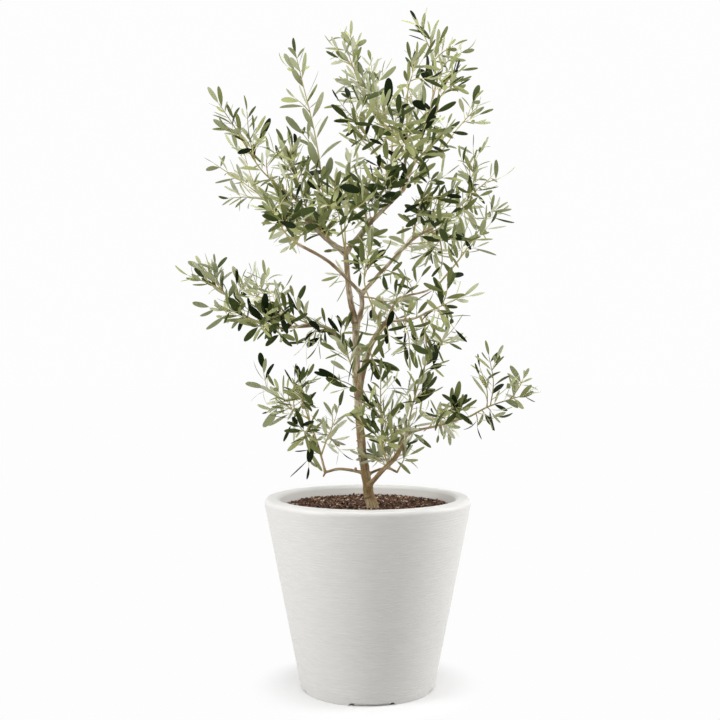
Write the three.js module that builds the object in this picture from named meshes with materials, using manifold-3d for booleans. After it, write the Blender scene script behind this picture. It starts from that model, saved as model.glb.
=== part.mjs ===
// A young olive tree in a tapered planter. The planter stands on the flat underside at z = 0 and is
// filled with potting mix; one leaning trunk forks into two stems, and slender boughs carry open
// sprays of opposite, narrow leaves. Millimetres, +Z up, origin at the centre of the underside.
import * as THREE from "three";
import { mergeVertices } from "three/addons/utils/BufferGeometryUtils.js";
import Module from "manifold-3d";

const wasm = await Module();
wasm.setup();

// ---- Driving dimensions, mm -------------------------------------------------------------------

const GAP = 0.3; // clearance between neighbouring solids
const CUT = 0.45; // how much a limb is swollen before it cuts its neighbour back
const CLEAR = 0.5; // room kept round each twig and leaf

const POT = {
  height: 465,
  rimRadius: 255, // widest, just below the top
  footRadius: 166,
  mouthRadius: 219, // inner edge of the flat rim
  throatRadius: 207, // inner wall just below the rounded lip
  lipRound: 12,
  footRound: 3,
  innerFootRadius: 134,
  floor: 22,
};
const NOTCH = { depth: 5.6, width: 26 }; // recesses in the foot edge, between four bearing feet
const NOTCH_ARCS = [[-15.75, 21.75], [62.25, 123.75], [164.25, 201.75], [242.25, 303.75]]; // degrees
const SOIL_TOP = 446;

const TRUNK = {
  way: [[10, -50, SOIL_TOP + GAP], [-5, -45, 525], [-15, -40, 595], [-25, -25, 740], [-30, -20, 895]],
  radius: [11.2, 8.4],
  flare: 6.5, // extra radius of the root flare at soil level
  flareHeight: 26,
};

// Each limb starts on another one, so far along it, and runs through its way to its tip.
const LIMBS = [
  { name: "left_stem", on: "trunk", at: 1,
    way: [[-45, -10, 965], [-55, 10, 1070]], radius: [7.4, 6.6] },
  { name: "right_stem", on: "trunk", at: 0.97,
    way: [[-15, -25, 930], [-15, -35, 965]], radius: [6.2, 5.6] },
  { name: "upper_left_bough", on: "left_stem", at: 1,
    way: [[-95, -20, 1085], [-150, -50, 1140]], radius: [5.6, 3.8] },
  { name: "upper_right_bough", on: "left_stem", at: 1,
    way: [[0, 30, 1140], [90, 65, 1235]], radius: [6.0, 4.2] },
  { name: "top_back_bough", on: "upper_right_bough", at: 0.8,
    way: [[60, 110, 1305], [65, 160, 1390]], radius: [3.4, 2.5] },
  { name: "top_front_bough", on: "upper_right_bough", at: 1,
    way: [[95, 0, 1320], [95, -60, 1380]], radius: [3.4, 2.5] },
  { name: "top_right_bough", on: "upper_right_bough", at: 1,
    way: [[120, 90, 1315], [155, 110, 1430], [180, 120, 1530]], radius: [4.0, 2.5] },
  { name: "crossing_bough", on: "right_stem", at: 1,
    way: [[-90, -95, 1035], [-165, -145, 1075]], radius: [4.4, 2.8] },
  { name: "right_bough", on: "right_stem", at: 1,
    way: [[45, 20, 1035], [115, 75, 1110], [170, 110, 1145]], radius: [5.2, 3.0] },
  { name: "front_right_limb", on: "trunk", at: 0.71,
    way: [[-10, -60, 800], [10, -80, 855], [45, -90, 890]], radius: [6.2, 4.8] },
  { name: "right_low_bough", on: "front_right_limb", at: 1,
    way: [[105, -130, 900], [140, -145, 915]], radius: [3.4, 2.4] },
  { name: "right_rising_bough", on: "front_right_limb", at: 1,
    way: [[75, -40, 950], [145, 20, 975], [180, 50, 995]], radius: [3.4, 2.2] },
  { name: "left_low_bough", on: "trunk", at: 0.89,
    way: [[-90, 35, 875], [-130, 65, 890], [-220, 90, 885]], radius: [5.4, 3.2] },
  { name: "lowest_left_bough", on: "trunk", at: 0.26,
    way: [[-65, -20, 535], [-105, 0, 525]], radius: [3.9, 3.2] },
  { name: "lowest_left_riser", on: "lowest_left_bough", at: 1,
    way: [[-125, 30, 590], [-150, 50, 655]], radius: [3.0, 2.2] },
  { name: "lowest_right_bough", on: "trunk", at: 0.14,
    way: [[50, -35, 550], [80, -20, 580], [100, -5, 625]], radius: [5.8, 4.4] },
  { name: "lowest_right_arm", on: "lowest_right_bough", at: 1,
    way: [[180, 30, 640], [260, 65, 660]], radius: [3.5, 2.3] },
  { name: "short_right_bough", on: "trunk", at: 0.2,
    way: [[50, -110, 545], [70, -135, 540]], radius: [3.4, 2.8] },
];

// A spray grows on from a limb: one stem along its way, and side shoots, each given as how far
// along the stem it starts and where it ends. Twigs and leaves follow from the seeded rule below.
const SPRAYS = [
  { name: "upper_middle_spray", on: "top_back_bough", at: 1,
    way: [[5, 200, 1480], [-40, 235, 1570], [-80, 265, 1695]],
    shoots: [[0.25, -40, 160, 1685], [0.3, 40, 305, 1635]] },
  { name: "middle_left_spray", on: "top_back_bough", at: 0.35,
    way: [[15, 95, 1345], [-20, 50, 1400], [-115, -5, 1430]],
    shoots: [[0.5, -60, 90, 1510]] },
  { name: "top_front_spray", on: "top_front_bough", at: 1,
    way: [[90, -110, 1445], [80, -130, 1495], [95, -150, 1565]],
    shoots: [[0.3, 40, -200, 1460], [0.45, 130, -75, 1525]] },
  { name: "top_spray", on: "top_right_bough", at: 1,
    way: [[165, 125, 1595], [155, 130, 1690]],
    shoots: [[0.1, 300, 140, 1645], [0.6, 115, 105, 1705]] },
  { name: "right_top_spray", on: "top_right_bough", at: 0.35,
    way: [[185, 160, 1345], [250, 230, 1430], [335, 270, 1525]],
    shoots: [[0.45, 270, 185, 1360], [0.6, 265, 320, 1530]] },
  { name: "right_dark_spray", on: "top_right_bough", at: 0.68,
    way: [[190, 50, 1420], [210, 10, 1460], [255, -40, 1530]],
    shoots: [[0.5, 230, -105, 1450]] },
  { name: "upper_left_long_spray", on: "upper_left_bough", at: 1,
    way: [[-165, -75, 1200], [-225, -130, 1260], [-350, -200, 1405]],
    shoots: [[0.45, -305, -75, 1365], [0.6, -280, -225, 1395]] },
  { name: "left_shoulder_spray", on: "upper_left_bough", at: 0.85,
    way: [[-215, 20, 1160], [-285, 70, 1230], [-420, 130, 1330]],
    shoots: [[0.4, -375, 90, 1225], [0.55, -315, 185, 1350]] },
  { name: "tall_left_spray", on: "upper_left_bough", at: 0.6,
    way: [[-115, 10, 1250], [-135, 65, 1400], [-190, 95, 1615]],
    shoots: [[0.4, -200, 130, 1410], [0.72, -140, 50, 1555]] },
  { name: "middle_back_spray", on: "left_stem", at: 0.97,
    way: [[-60, 130, 1180], [-80, 240, 1290], [-100, 330, 1400]],
    shoots: [[0.5, -165, 355, 1295], [0.5, -10, 340, 1320]] },
  { name: "middle_front_spray", on: "left_stem", at: 0.94,
    way: [[-35, -105, 1125], [-45, -200, 1180], [-55, -290, 1240]],
    shoots: [[0.5, -100, -295, 1155], [0.5, 15, -280, 1180]] },
  { name: "left_front_spray", on: "crossing_bough", at: 1,
    way: [[-190, -220, 1095], [-205, -290, 1125], [-235, -345, 1160]],
    shoots: [[0.4, -145, -325, 1140], [0.3, -255, -240, 1070]] },
  { name: "right_long_spray", on: "right_bough", at: 1,
    way: [[245, 160, 1210], [295, 185, 1260], [345, 210, 1295]],
    shoots: [[0.5, 300, 215, 1410], [0.3, 210, 240, 1290]] },
  { name: "right_inner_spray", on: "right_bough", at: 0.66,
    way: [[125, 30, 1170], [145, -40, 1230], [175, -90, 1280]],
    shoots: [[0.4, 90, -115, 1215], [0.5, 210, -145, 1205]] },
  { name: "right_back_spray", on: "right_bough", at: 0.4,
    way: [[65, 160, 1120], [90, 270, 1200], [135, 355, 1285]],
    shoots: [[0.5, 175, 365, 1185], [0.5, 35, 360, 1240]] },
  { name: "right_low_spray", on: "right_low_bough", at: 1,
    way: [[185, -180, 935], [240, -200, 965]],
    shoots: [[0.3, 185, -255, 880], [0.4, 175, -270, 970]] },
  { name: "inner_front_spray", on: "front_right_limb", at: 0.9,
    way: [[-5, -150, 970], [-10, -190, 1020], [0, -220, 1080]],
    shoots: [[0.45, 55, -250, 1020], [0.5, -50, -255, 975]] },
  { name: "right_rising_spray", on: "right_rising_bough", at: 1,
    way: [[245, 95, 1075], [315, 140, 1175], [375, 160, 1210]],
    shoots: [[0.4, 230, 35, 1140], [0.3, 295, 175, 1060]] },
  { name: "left_low_spray", on: "left_low_bough", at: 1,
    way: [[-310, 65, 915], [-370, 35, 980], [-485, 10, 1030]],
    shoots: [[0.45, -455, 90, 1080], [0.35, -375, -50, 940]] },
  { name: "left_upper_back_spray", on: "left_low_bough", at: 0.85,
    way: [[-250, 160, 950], [-285, 230, 1020], [-325, 270, 1100]],
    shoots: [[0.5, -230, 285, 1055], [0.4, -355, 295, 995]] },
  { name: "left_inner_spray", on: "left_low_bough", at: 0.7,
    way: [[-175, -5, 925], [-185, -55, 965], [-170, -105, 1005]],
    shoots: [[0.5, -215, -145, 965], [0.5, -115, -130, 950]] },
  { name: "left_hanging_spray", on: "left_low_bough", at: 0.95,
    way: [[-240, 10, 880], [-255, -60, 870], [-280, -130, 850]],
    shoots: [[0.4, -245, -160, 930], [0.4, -200, -90, 830]] },
  { name: "lowest_left_spray", on: "lowest_left_riser", at: 1,
    way: [[-200, 90, 680], [-265, 125, 730], [-320, 145, 750]],
    shoots: [[0.5, -240, 120, 795], [0.4, -265, 200, 685]] },
  { name: "lowest_left_upper_spray", on: "lowest_left_riser", at: 0.85,
    way: [[-145, -5, 715], [-110, -55, 750], [-80, -95, 805]],
    shoots: [[0.4, -170, -75, 785], [0.5, -55, -115, 745]] },
  { name: "lowest_left_front_spray", on: "lowest_left_riser", at: 0.5,
    way: [[-155, -60, 625], [-180, -125, 650], [-205, -170, 625]],
    shoots: [[0.4, -165, -170, 590], [0.5, -155, -200, 700]] },
  { name: "lowest_left_back_spray", on: "lowest_left_riser", at: 0.3,
    way: [[-105, 120, 605], [-90, 185, 645], [-105, 255, 695]],
    shoots: [[0.4, -50, 215, 570], [0.5, -155, 270, 640]] },
  { name: "right_center_spray", on: "lowest_right_bough", at: 1,
    way: [[110, -35, 695], [130, -75, 770], [155, -105, 840]],
    shoots: [[0.85, 245, -50, 930], [0.5, 80, -160, 755], [0.6, 170, -145, 745]] },
  { name: "lowest_right_spray", on: "lowest_right_arm", at: 1,
    way: [[310, 75, 685], [375, 90, 705], [450, 100, 725]],
    shoots: [[0.35, 285, 50, 825], [0.6, 390, 130, 790], [0.2, 280, 35, 610]] },
  { name: "arm_front_spray", on: "lowest_right_arm", at: 0.6,
    way: [[195, -50, 685], [205, -125, 725]],
    shoots: [[0.4, 155, -115, 720], [0.3, 240, -145, 700]] },
  { name: "arm_back_spray", on: "lowest_right_arm", at: 0.35,
    way: [[165, 130, 675], [160, 215, 715], [200, 285, 765]],
    shoots: [[0.5, 115, 270, 735], [0.5, 240, 285, 695]] },
  { name: "low_front_spray", on: "short_right_bough", at: 0.75,
    way: [[40, -145, 600], [35, -180, 700], [30, -205, 805]],
    shoots: [[0.3, 70, -240, 655], [0.55, -10, -270, 750], [0.6, 70, -160, 770]] },
  { name: "low_right_spray", on: "short_right_bough", at: 1,
    way: [[75, -165, 575], [70, -200, 605]],
    shoots: [[0.3, 105, -215, 580]] },
  { name: "yellow_shoot_spray", on: "lowest_right_bough", at: 0.93,
    way: [[20, -110, 680], [-30, -145, 770], [-70, -165, 875]],
    shoots: [[0.75, -85, -200, 820]] },
  { name: "upper_left_inner_spray", on: "upper_left_bough", at: 0.92,
    way: [[-160, -20, 1210], [-190, 10, 1275], [-205, 15, 1355]],
    shoots: [[0.3, -80, -75, 1235], [0.5, -120, -60, 1310], [0.2, -210, -145, 1160]] },
  { name: "upper_center_front_spray", on: "top_front_bough", at: 0.45,
    way: [[70, -95, 1330], [40, -160, 1370], [20, -200, 1425]],
    shoots: [[0.3, 130, -160, 1340], [0.45, 85, -240, 1385], [0.35, 10, -200, 1305]] },
  { name: "upper_center_back_spray", on: "top_right_bough", at: 0.3,
    way: [[140, 185, 1390], [130, 255, 1480], [105, 295, 1580]],
    shoots: [[0.4, 210, 285, 1470], [0.3, 50, 310, 1445]] },
  { name: "right_middle_spray", on: "right_bough", at: 0.9,
    way: [[180, 65, 1115], [185, 10, 1060], [175, -50, 995]],
    shoots: [[0.3, 230, -50, 1095], [0.4, 115, -35, 1045], [0.1, 220, 20, 1165]] },
  { name: "center_low_spray", on: "right_stem", at: 0.9,
    way: [[25, 35, 955], [55, 90, 910], [75, 130, 840]],
    shoots: [[0.4, 115, 130, 960], [0.4, 20, 175, 855]] },
];
const FIRST_SEED = 101; // one seed a spray, counted up from this
const STEM_BARE = 0.2; // share of each axis below its first leaves
const SHOOT_BARE = 0.15;
const TWIG_BARE = 0.3;
const STEM_RADIUS = [2.5, 1.5];
const SHOOT_RADIUS = [1.9, 1.3];
const TWIG = {
  radius: [1.5, 1.1],
  length: 62,
  spacing: 400, // length of stem or shoot to each twig
  first: 0.12, // where on its axis the lowest twig may start
  angle: 0.85, // between twig and axis, radians
  lift: 0.25, // upward pull on its direction
};
const LEAF = {
  length: 92,
  width: 23,
  thickness: 1.0,
  widest: 0.45, // how far along the leaf it is widest
  spacing: 300, // length of axis to each pair
  angle: 0.75, // between leaf and axis, radians
  twist: 1.2, // spread of the blade's turn about its own line
  root: 0.15, // from the axis to the root edge
  tipRoot: 4, // how deep the leaf at a tip is sunk in it
  tipShare: 0.8, // share of a leaf's length that an axis is drawn back for its tip leaf
};
const FACETS = {
  pot: 40, soil: 36, notch: 6, trunk: 8, bough: 6, twig: 3, // sides round
  trunkSteps: 14, stemSteps: 5, shootSteps: 2, // steps along
  boughStep: 45, // length of each step along a bough
};

// ---- Solids ------------------------------------------------------------------------------------

function solidOf(geometry) {
  const bare = geometry.clone();
  bare.deleteAttribute("normal");
  bare.deleteAttribute("uv");
  const merged = mergeVertices(bare);
  const mesh = new wasm.Mesh({
    numProp: 3,
    vertProperties: new Float32Array(merged.attributes.position.array),
    triVerts: new Uint32Array(merged.index.array),
  });
  return new wasm.Manifold(mesh);
}

function geometryOf(solid) {
  const mesh = solid.getMesh();
  const geometry = new THREE.BufferGeometry();
  geometry.setAttribute("position", new THREE.BufferAttribute(mesh.vertProperties, 3));
  geometry.setIndex(new THREE.BufferAttribute(mesh.triVerts, 1));
  geometry.computeVertexNormals();
  return geometry;
}

function largestBody(solid) {
  const bodies = solid.decompose();
  bodies.sort((a, b) => b.volume() - a.volume());
  return bodies[0];
}

function curveThrough(points) {
  const vectors = points.map((p) => (p.isVector3 ? p : new THREE.Vector3(...p)));
  return new THREE.CatmullRomCurve3(vectors, false, "catmullrom", 0.5);
}

// A closed cylinder bent along a curve, with the radius a function of how far along it is.
function bentTube(curve, radiusAt, sides, steps) {
  const geometry = new THREE.CylinderGeometry(1, 1, 1, sides, steps);
  const frames = curve.computeFrenetFrames(steps, false);
  const place = geometry.attributes.position;
  for (let i = 0; i < place.count; i += 1) {
    const k = Math.round((place.getY(i) + 0.5) * steps);
    const radius = radiusAt(k / steps);
    const point = curve.getPointAt(k / steps);
    point.addScaledVector(frames.normals[k], place.getX(i) * radius);
    point.addScaledVector(frames.binormals[k], -place.getZ(i) * radius);
    place.setXYZ(i, point.x, point.y, point.z);
  }
  return solidOf(geometry);
}

const taper = (radius) => (u) => THREE.MathUtils.lerp(radius[0], radius[1], u);

// A leaf: an edge for its root, its two widest corners and its tip, six faces in all.
function leafSolid(root, along, face, size, margin = 0) {
  const side = new THREE.Vector3().crossVectors(face, along).normalize();
  const lift = new THREE.Vector3().crossVectors(along, side).normalize();
  const at = (x, y, z) => root.clone()
    .addScaledVector(along, x).addScaledVector(side, y).addScaledVector(lift, z).toArray();
  const half = { width: LEAF.width * size / 2 + margin, thickness: LEAF.thickness / 2 + margin };
  const length = LEAF.length * size;
  const corners = [
    at(LEAF.root, 0, half.thickness),
    at(LEAF.root, 0, -half.thickness),
    at(length * LEAF.widest, half.width, 0),
    at(length * LEAF.widest, -half.width, 0),
    at(length + margin, 0, 0),
  ];
  const geometry = new THREE.BufferGeometry();
  geometry.setAttribute("position", new THREE.Float32BufferAttribute(corners.flat(), 3));
  geometry.setIndex([0, 3, 4, 0, 4, 2, 1, 4, 3, 1, 2, 4, 0, 1, 3, 0, 2, 1]);
  return solidOf(geometry);
}

// Seeded random numbers, 0 to 1 (mulberry32).
function seeded(seed) {
  let state = seed >>> 0;
  return () => {
    state = (state + 0x6d2b79f5) >>> 0;
    let t = state;
    t = Math.imul(t ^ (t >>> 15), t | 1);
    t ^= t + Math.imul(t ^ (t >>> 7), t | 61);
    return ((t ^ (t >>> 14)) >>> 0) / 4294967296;
  };
}

// ---- Planter and soil --------------------------------------------------------------------------

const revolve = (points, segments) => {
  const geometry = new THREE.LatheGeometry(points.map(([r, z]) => new THREE.Vector2(r, z)), segments);
  geometry.rotateX(Math.PI / 2);
  return geometry;
};

const arc = (r, z, radius, from, to, steps) => Array.from({ length: steps + 1 }, (_, i) => {
  const angle = THREE.MathUtils.degToRad(from + (to - from) * i / steps);
  return [r + radius * Math.cos(angle), z + radius * Math.sin(angle)];
});

const innerWall = (z) => THREE.MathUtils.mapLinear(
  z, POT.floor, POT.height - POT.lipRound, POT.innerFootRadius, POT.throatRadius);

function footNotch([from, to]) {
  const [start, end] = [from - 90, to - 90].map(THREE.MathUtils.degToRad);
  const shape = new THREE.Shape();
  shape.absarc(0, 0, POT.footRadius + 2, start, end, false);
  shape.absarc(0, 0, POT.footRadius - NOTCH.width, end, start, true);
  const geometry = new THREE.ExtrudeGeometry(shape, {
    depth: NOTCH.depth + 1, bevelEnabled: false, curveSegments: FACETS.notch,
  });
  geometry.translate(0, 0, -1);
  return solidOf(geometry);
}

function potSolid() {
  const { height, rimRadius, footRadius, mouthRadius, lipRound, footRound, floor } = POT;
  const profile = [
    [0, 0],
    [footRadius - footRound, 0],
    [footRadius, footRound],
    ...arc(rimRadius - lipRound, height - lipRound, lipRound, -8, 90, 4),
    ...arc(mouthRadius, height - lipRound, lipRound, 90, 180, 3),
    [innerWall(floor), floor],
    [0, floor],
  ];
  let solid = solidOf(revolve(profile, FACETS.pot));
  for (const range of NOTCH_ARCS) solid = solid.subtract(footNotch(range));
  return solid;
}

function soilSolid() {
  const bottom = POT.floor + GAP;
  const top = SOIL_TOP;
  const clear = GAP + 0.4;
  const profile = [
    [0, bottom],
    [innerWall(bottom) - clear, bottom],
    [innerWall(top) - clear, top],
    [0, top],
  ];
  return solidOf(revolve(profile, FACETS.soil));
}

// ---- Trunk and boughs --------------------------------------------------------------------------

const curves = new Map();
const solids = new Map();
const obstacles = []; // every placed piece with its node and its box, for the clearance tests

function place(node, solid) {
  const piece = { node, solid, box: solid.boundingBox() };
  obstacles.push(piece);
  return piece;
}

const boxesMeet = (a, b) => [0, 1, 2].every((k) => a.min[k] <= b.max[k] && b.min[k] <= a.max[k]);

// Whether a new piece would touch any piece but those it grows from or beside.
function touches(solid, ...hosts) {
  const box = solid.boundingBox();
  return obstacles.some((piece) => !hosts.includes(piece)
    && boxesMeet(piece.box, box) && !piece.solid.intersect(solid).isEmpty());
}

// The part of a solid that is clear of every swollen limb laid before it.
const swollen = [];
function cutClear(solid) {
  let rest = solid;
  const box = solid.boundingBox();
  for (const limb of swollen) {
    if (boxesMeet(limb.boundingBox(), box)) rest = rest.subtract(limb);
  }
  return largestBody(rest);
}

function addLimb(name, curve, radiusAt, sides, steps) {
  curves.set(name, curve);
  const solid = cutClear(bentTube(curve, radiusAt, sides, steps));
  swollen.push(bentTube(curve, (u) => radiusAt(u) + CUT, sides, steps));
  solids.set(name, solid);
  place(name, solid);
}

function addTrunk() {
  const curve = curveThrough(TRUNK.way);
  const length = curve.getLength();
  const radiusAt = (u) => taper(TRUNK.radius)(u) + TRUNK.flare * Math.exp(-u * length / TRUNK.flareHeight);
  const size = 6 * TRUNK.flareHeight;
  const ground = new THREE.BoxGeometry(size, size, size);
  ground.translate(TRUNK.way[0][0], TRUNK.way[0][1], TRUNK.way[0][2] - size / 2);
  addLimb("trunk", curve, radiusAt, FACETS.trunk, FACETS.trunkSteps);
  solids.set("trunk", solids.get("trunk").subtract(solidOf(ground)));
}

function addBoughs() {
  for (const limb of LIMBS) {
    const start = curves.get(limb.on).getPoint(limb.at);
    const curve = curveThrough([start, ...limb.way]);
    const steps = Math.max(3, Math.round(curve.getLength() / FACETS.boughStep));
    addLimb(limb.name, curve, taper(limb.radius), FACETS.bough, steps);
  }
}

// ---- Sprays ------------------------------------------------------------------------------------

const UP = new THREE.Vector3(0, 0, 1);
const ACROSS = new THREE.Vector3(0.28, 0.96, 0);

// A direction that leaves the axis at an angle, turned round it.
function leaving(tangent, turn, angle) {
  const base = new THREE.Vector3().crossVectors(tangent, Math.abs(tangent.z) > 0.9 ? ACROSS : UP).normalize();
  const radial = base.applyAxisAngle(tangent, turn);
  return tangent.clone().multiplyScalar(Math.cos(angle)).addScaledVector(radial, Math.sin(angle));
}

// The end of an axis, drawn back so that the leaf at its tip ends where the axis is meant to reach.
function beforeTipLeaf(previous, end) {
  const last = end.clone().sub(previous);
  const length = Math.max(last.length() - LEAF.length * LEAF.tipShare, last.length() * 0.3);
  return previous.clone().addScaledVector(last.normalize(), length);
}

function stemAxis(spray) {
  const points = [curves.get(spray.on).getPoint(spray.at), ...spray.way.map((p) => new THREE.Vector3(...p))];
  const end = points.pop();
  points.push(beforeTipLeaf(points.at(-1), end));
  return { curve: curveThrough(points), radius: STEM_RADIUS };
}

function shootAxis(stem, [at, ...tip]) {
  const start = stem.curve.getPoint(at);
  const end = beforeTipLeaf(start, new THREE.Vector3(...tip));
  const reach = start.distanceTo(end);
  const middle = start.clone().lerp(end, 0.45).addScaledVector(stem.curve.getTangent(at), reach * 0.08);
  return { curve: curveThrough([start, middle, end]), radius: SHOOT_RADIUS };
}

// Short twigs leave an axis crosswise, a quarter turn apart, shorter towards its tip.
function twigAxes(axis, random) {
  const count = Math.round(axis.curve.getLength() / TWIG.spacing);
  const twigs = [];
  let turn = random() * Math.PI;
  for (let i = 0; i < count; i += 1) {
    const u = TWIG.first + 0.7 * (i + random() * 0.6) / count;
    const start = axis.curve.getPoint(u);
    const along = leaving(axis.curve.getTangent(u), turn, TWIG.angle * (0.8 + 0.4 * random()));
    along.addScaledVector(UP, TWIG.lift).normalize();
    const length = TWIG.length * (1.15 - 0.5 * u) * (0.75 + 0.5 * random());
    const end = start.clone().addScaledVector(along, length);
    twigs.push({ curve: curveThrough([start, end]), radius: TWIG.radius });
    turn += Math.PI * (0.5 + 0.35 * (random() - 0.5));
  }
  return twigs;
}

// Opposite pairs of leaves, a quarter turn apart, and one at the tip.
function leafPlaces(axis, from, random) {
  const length = axis.curve.getLength();
  const pairs = Math.max(1, Math.round(length * (1 - from) / LEAF.spacing));
  const places = [];
  let turn = random() * Math.PI;
  for (let i = 0; i < pairs; i += 1) {
    const u = from + (1 - from) * (i + 0.5) / pairs;
    const tangent = axis.curve.getTangent(u);
    for (const half of [0, Math.PI]) {
      const angle = LEAF.angle * (0.75 + 0.5 * random());
      const along = leaving(tangent, turn + half + 0.5 * (random() - 0.5), angle).normalize();
      const face = tangent.clone().addScaledVector(along, -tangent.dot(along)).multiplyScalar(-1);
      face.applyAxisAngle(along, LEAF.twist * (random() - 0.5));
      places.push({ root: axis.curve.getPoint(u), along, face, size: 0.8 + 0.35 * random() });
    }
    turn += Math.PI / 2;
  }
  const tangent = axis.curve.getTangent(1);
  const face = leaving(tangent, random() * Math.PI, Math.PI / 2);
  const root = axis.curve.getPoint(1).addScaledVector(tangent, -LEAF.tipRoot);
  places.push({ root, along: tangent, face, size: 0.75 + 0.3 * random() });
  return places;
}

const tubeOf = (axis, margin, steps) => bentTube(
  axis.curve, (u) => taper(axis.radius)(u) + margin, FACETS.twig, steps);

function growSprays() {
  const plans = SPRAYS.map((spray, index) => {
    const stem = stemAxis(spray);
    const solid = cutClear(tubeOf(stem, 0, FACETS.stemSteps));
    stem.piece = place(spray.name, solid);
    const random = seeded(FIRST_SEED + index);
    return { name: spray.name, spray, stem, pieces: [solid], axes: [[stem, STEM_BARE]], random };
  });
  for (const plan of plans) {
    for (const shoot of plan.spray.shoots) {
      const axis = shootAxis(plan.stem, shoot);
      addPiece(plan, plan.stem, axis, FACETS.shootSteps, SHOOT_BARE);
    }
  }
  for (const plan of plans) {
    const mains = plan.axes.map(([axis]) => axis);
    for (const main of mains) {
      for (const twig of twigAxes(main, plan.random)) addPiece(plan, main, twig, 1, TWIG_BARE);
    }
  }
  for (const plan of plans) {
    for (const [axis, from] of plan.axes) {
      let mate = null;
      for (const leaf of leafPlaces(axis, from, plan.random)) {
        const twin = mate;
        mate = null;
        const room = leafSolid(leaf.root, leaf.along, leaf.face, leaf.size, CLEAR);
        if (touches(room, axis.piece, twin)) continue;
        const solid = leafSolid(leaf.root, leaf.along, leaf.face, leaf.size);
        plan.pieces.push(solid);
        mate = place(plan.name, solid);
      }
    }
  }
  for (const plan of plans) {
    solids.set(plan.name, largestBody(wasm.Manifold.union(plan.pieces)));
  }
}

function addPiece(plan, host, axis, steps, from) {
  if (touches(tubeOf(axis, CLEAR, steps), host.piece)) return;
  const solid = tubeOf(axis, 0, steps);
  plan.pieces.push(solid);
  plan.axes.push([axis, from]);
  axis.piece = place(plan.name, solid);
}

// ---- Assembly ----------------------------------------------------------------------------------

const finish = (color, roughness) => new THREE.MeshStandardMaterial({ color, roughness, metalness: 0 });
const potFinish = finish(0xe0dfdb, 0.55);
const soilFinish = finish(0x4a3024, 0.95);
const barkFinish = finish(0x9a8560, 0.85);
const leafFinish = finish(0x7f8f63, 0.6);

const group = new THREE.Group();
function addMesh(name, solid, material) {
  const mesh = new THREE.Mesh(geometryOf(solid), material);
  mesh.name = name;
  group.add(mesh);
}

addMesh("pot", potSolid(), potFinish);
addMesh("soil", soilSolid(), soilFinish);
addTrunk();
addBoughs();
growSprays();
addMesh("trunk", solids.get("trunk"), barkFinish);
for (const limb of LIMBS) addMesh(limb.name, solids.get(limb.name), barkFinish);
for (const spray of SPRAYS) addMesh(spray.name, solids.get(spray.name), leafFinish);

export default group;
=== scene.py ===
import math

import bpy
import numpy as np
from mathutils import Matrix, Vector, noise


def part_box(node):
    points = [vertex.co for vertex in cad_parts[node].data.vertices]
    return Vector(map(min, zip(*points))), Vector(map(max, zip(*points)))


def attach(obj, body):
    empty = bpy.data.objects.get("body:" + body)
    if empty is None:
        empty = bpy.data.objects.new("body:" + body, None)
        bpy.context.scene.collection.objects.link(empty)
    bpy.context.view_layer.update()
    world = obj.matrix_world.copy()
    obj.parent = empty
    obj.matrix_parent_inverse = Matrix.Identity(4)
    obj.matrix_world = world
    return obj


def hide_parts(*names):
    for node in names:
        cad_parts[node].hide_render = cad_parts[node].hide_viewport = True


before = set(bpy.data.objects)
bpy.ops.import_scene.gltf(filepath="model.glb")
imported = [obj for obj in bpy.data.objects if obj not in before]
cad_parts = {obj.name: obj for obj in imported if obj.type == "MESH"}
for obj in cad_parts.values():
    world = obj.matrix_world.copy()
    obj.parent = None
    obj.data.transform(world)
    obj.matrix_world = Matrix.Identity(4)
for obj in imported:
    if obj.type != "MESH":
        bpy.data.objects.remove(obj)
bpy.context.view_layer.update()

# ---- View --------------------------------------------------------------------------------------
# The plant is seen from straight ahead with a level camera, a third of a metre above the rim and
# about five and a half planter heights away.

VIEW_DISTANCE = 2.542
VIEW_HEIGHT = 0.803
VIEW_LENS = 51.3
VIEW_SENSOR = 36.0
VIEW_SHIFT = -0.0108  # the planter stands slightly right of the middle

camera_data = bpy.data.cameras.new("view")
camera_data.lens = VIEW_LENS
camera_data.sensor_width = VIEW_SENSOR
camera_data.shift_x = VIEW_SHIFT
camera = bpy.data.objects.new("view", camera_data)
camera.location = (0.0, -VIEW_DISTANCE, VIEW_HEIGHT)
camera.rotation_euler = (math.radians(90.0), 0.0, 0.0)
bpy.context.collection.objects.link(camera)
bpy.context.scene.camera = camera
bpy.context.scene.view_settings.view_transform = "Standard"

# ---- Planter -----------------------------------------------------------------------------------
# A round tapered planter, rotationally moulded in off-white plastic with a doubled wall. Fine uneven
# ribs are combed round it up to a smooth, thick, rounded rim. Four low recesses leave four bearing
# feet, and behind each recess stands a set-back skirt with an open slot at either end.


def colour(code):
    """A colour written as a web code, as linear red, green and blue."""
    parts = [int(code[k:k + 2], 16) / 255 for k in (1, 3, 5)]
    return tuple(c / 12.92 if c <= 0.04045 else ((c + 0.055) / 1.055) ** 2.4 for c in parts)


class Signal:
    """A value that varies over a surface. Sums and products of signals become Math nodes."""

    def __init__(self, nodes, socket):
        self.nodes = nodes
        self.socket = socket

    def math(self, operation, *values):
        return self.nodes.node("ShaderNodeMath", {"operation": operation}, dict(enumerate(values)))

    def __add__(self, other):
        return self.math("ADD", self, other)

    __radd__ = __add__

    def __mul__(self, other):
        return self.math("MULTIPLY", self, other)

    __rmul__ = __mul__

    def __sub__(self, other):
        return self.math("SUBTRACT", self, other)

    def __rsub__(self, other):
        return self.math("SUBTRACT", other, self)

    def __abs__(self):
        return self.math("ABSOLUTE", self)

    def between(self, low, high):
        """0 below low and 1 above high, with a smooth rise from one to the other."""
        settings = {"interpolation_type": "SMOOTHSTEP", "clamp": True}
        return self.nodes.node("ShaderNodeMapRange", settings, {"Value": self, 1: low, 2: high})


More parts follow.
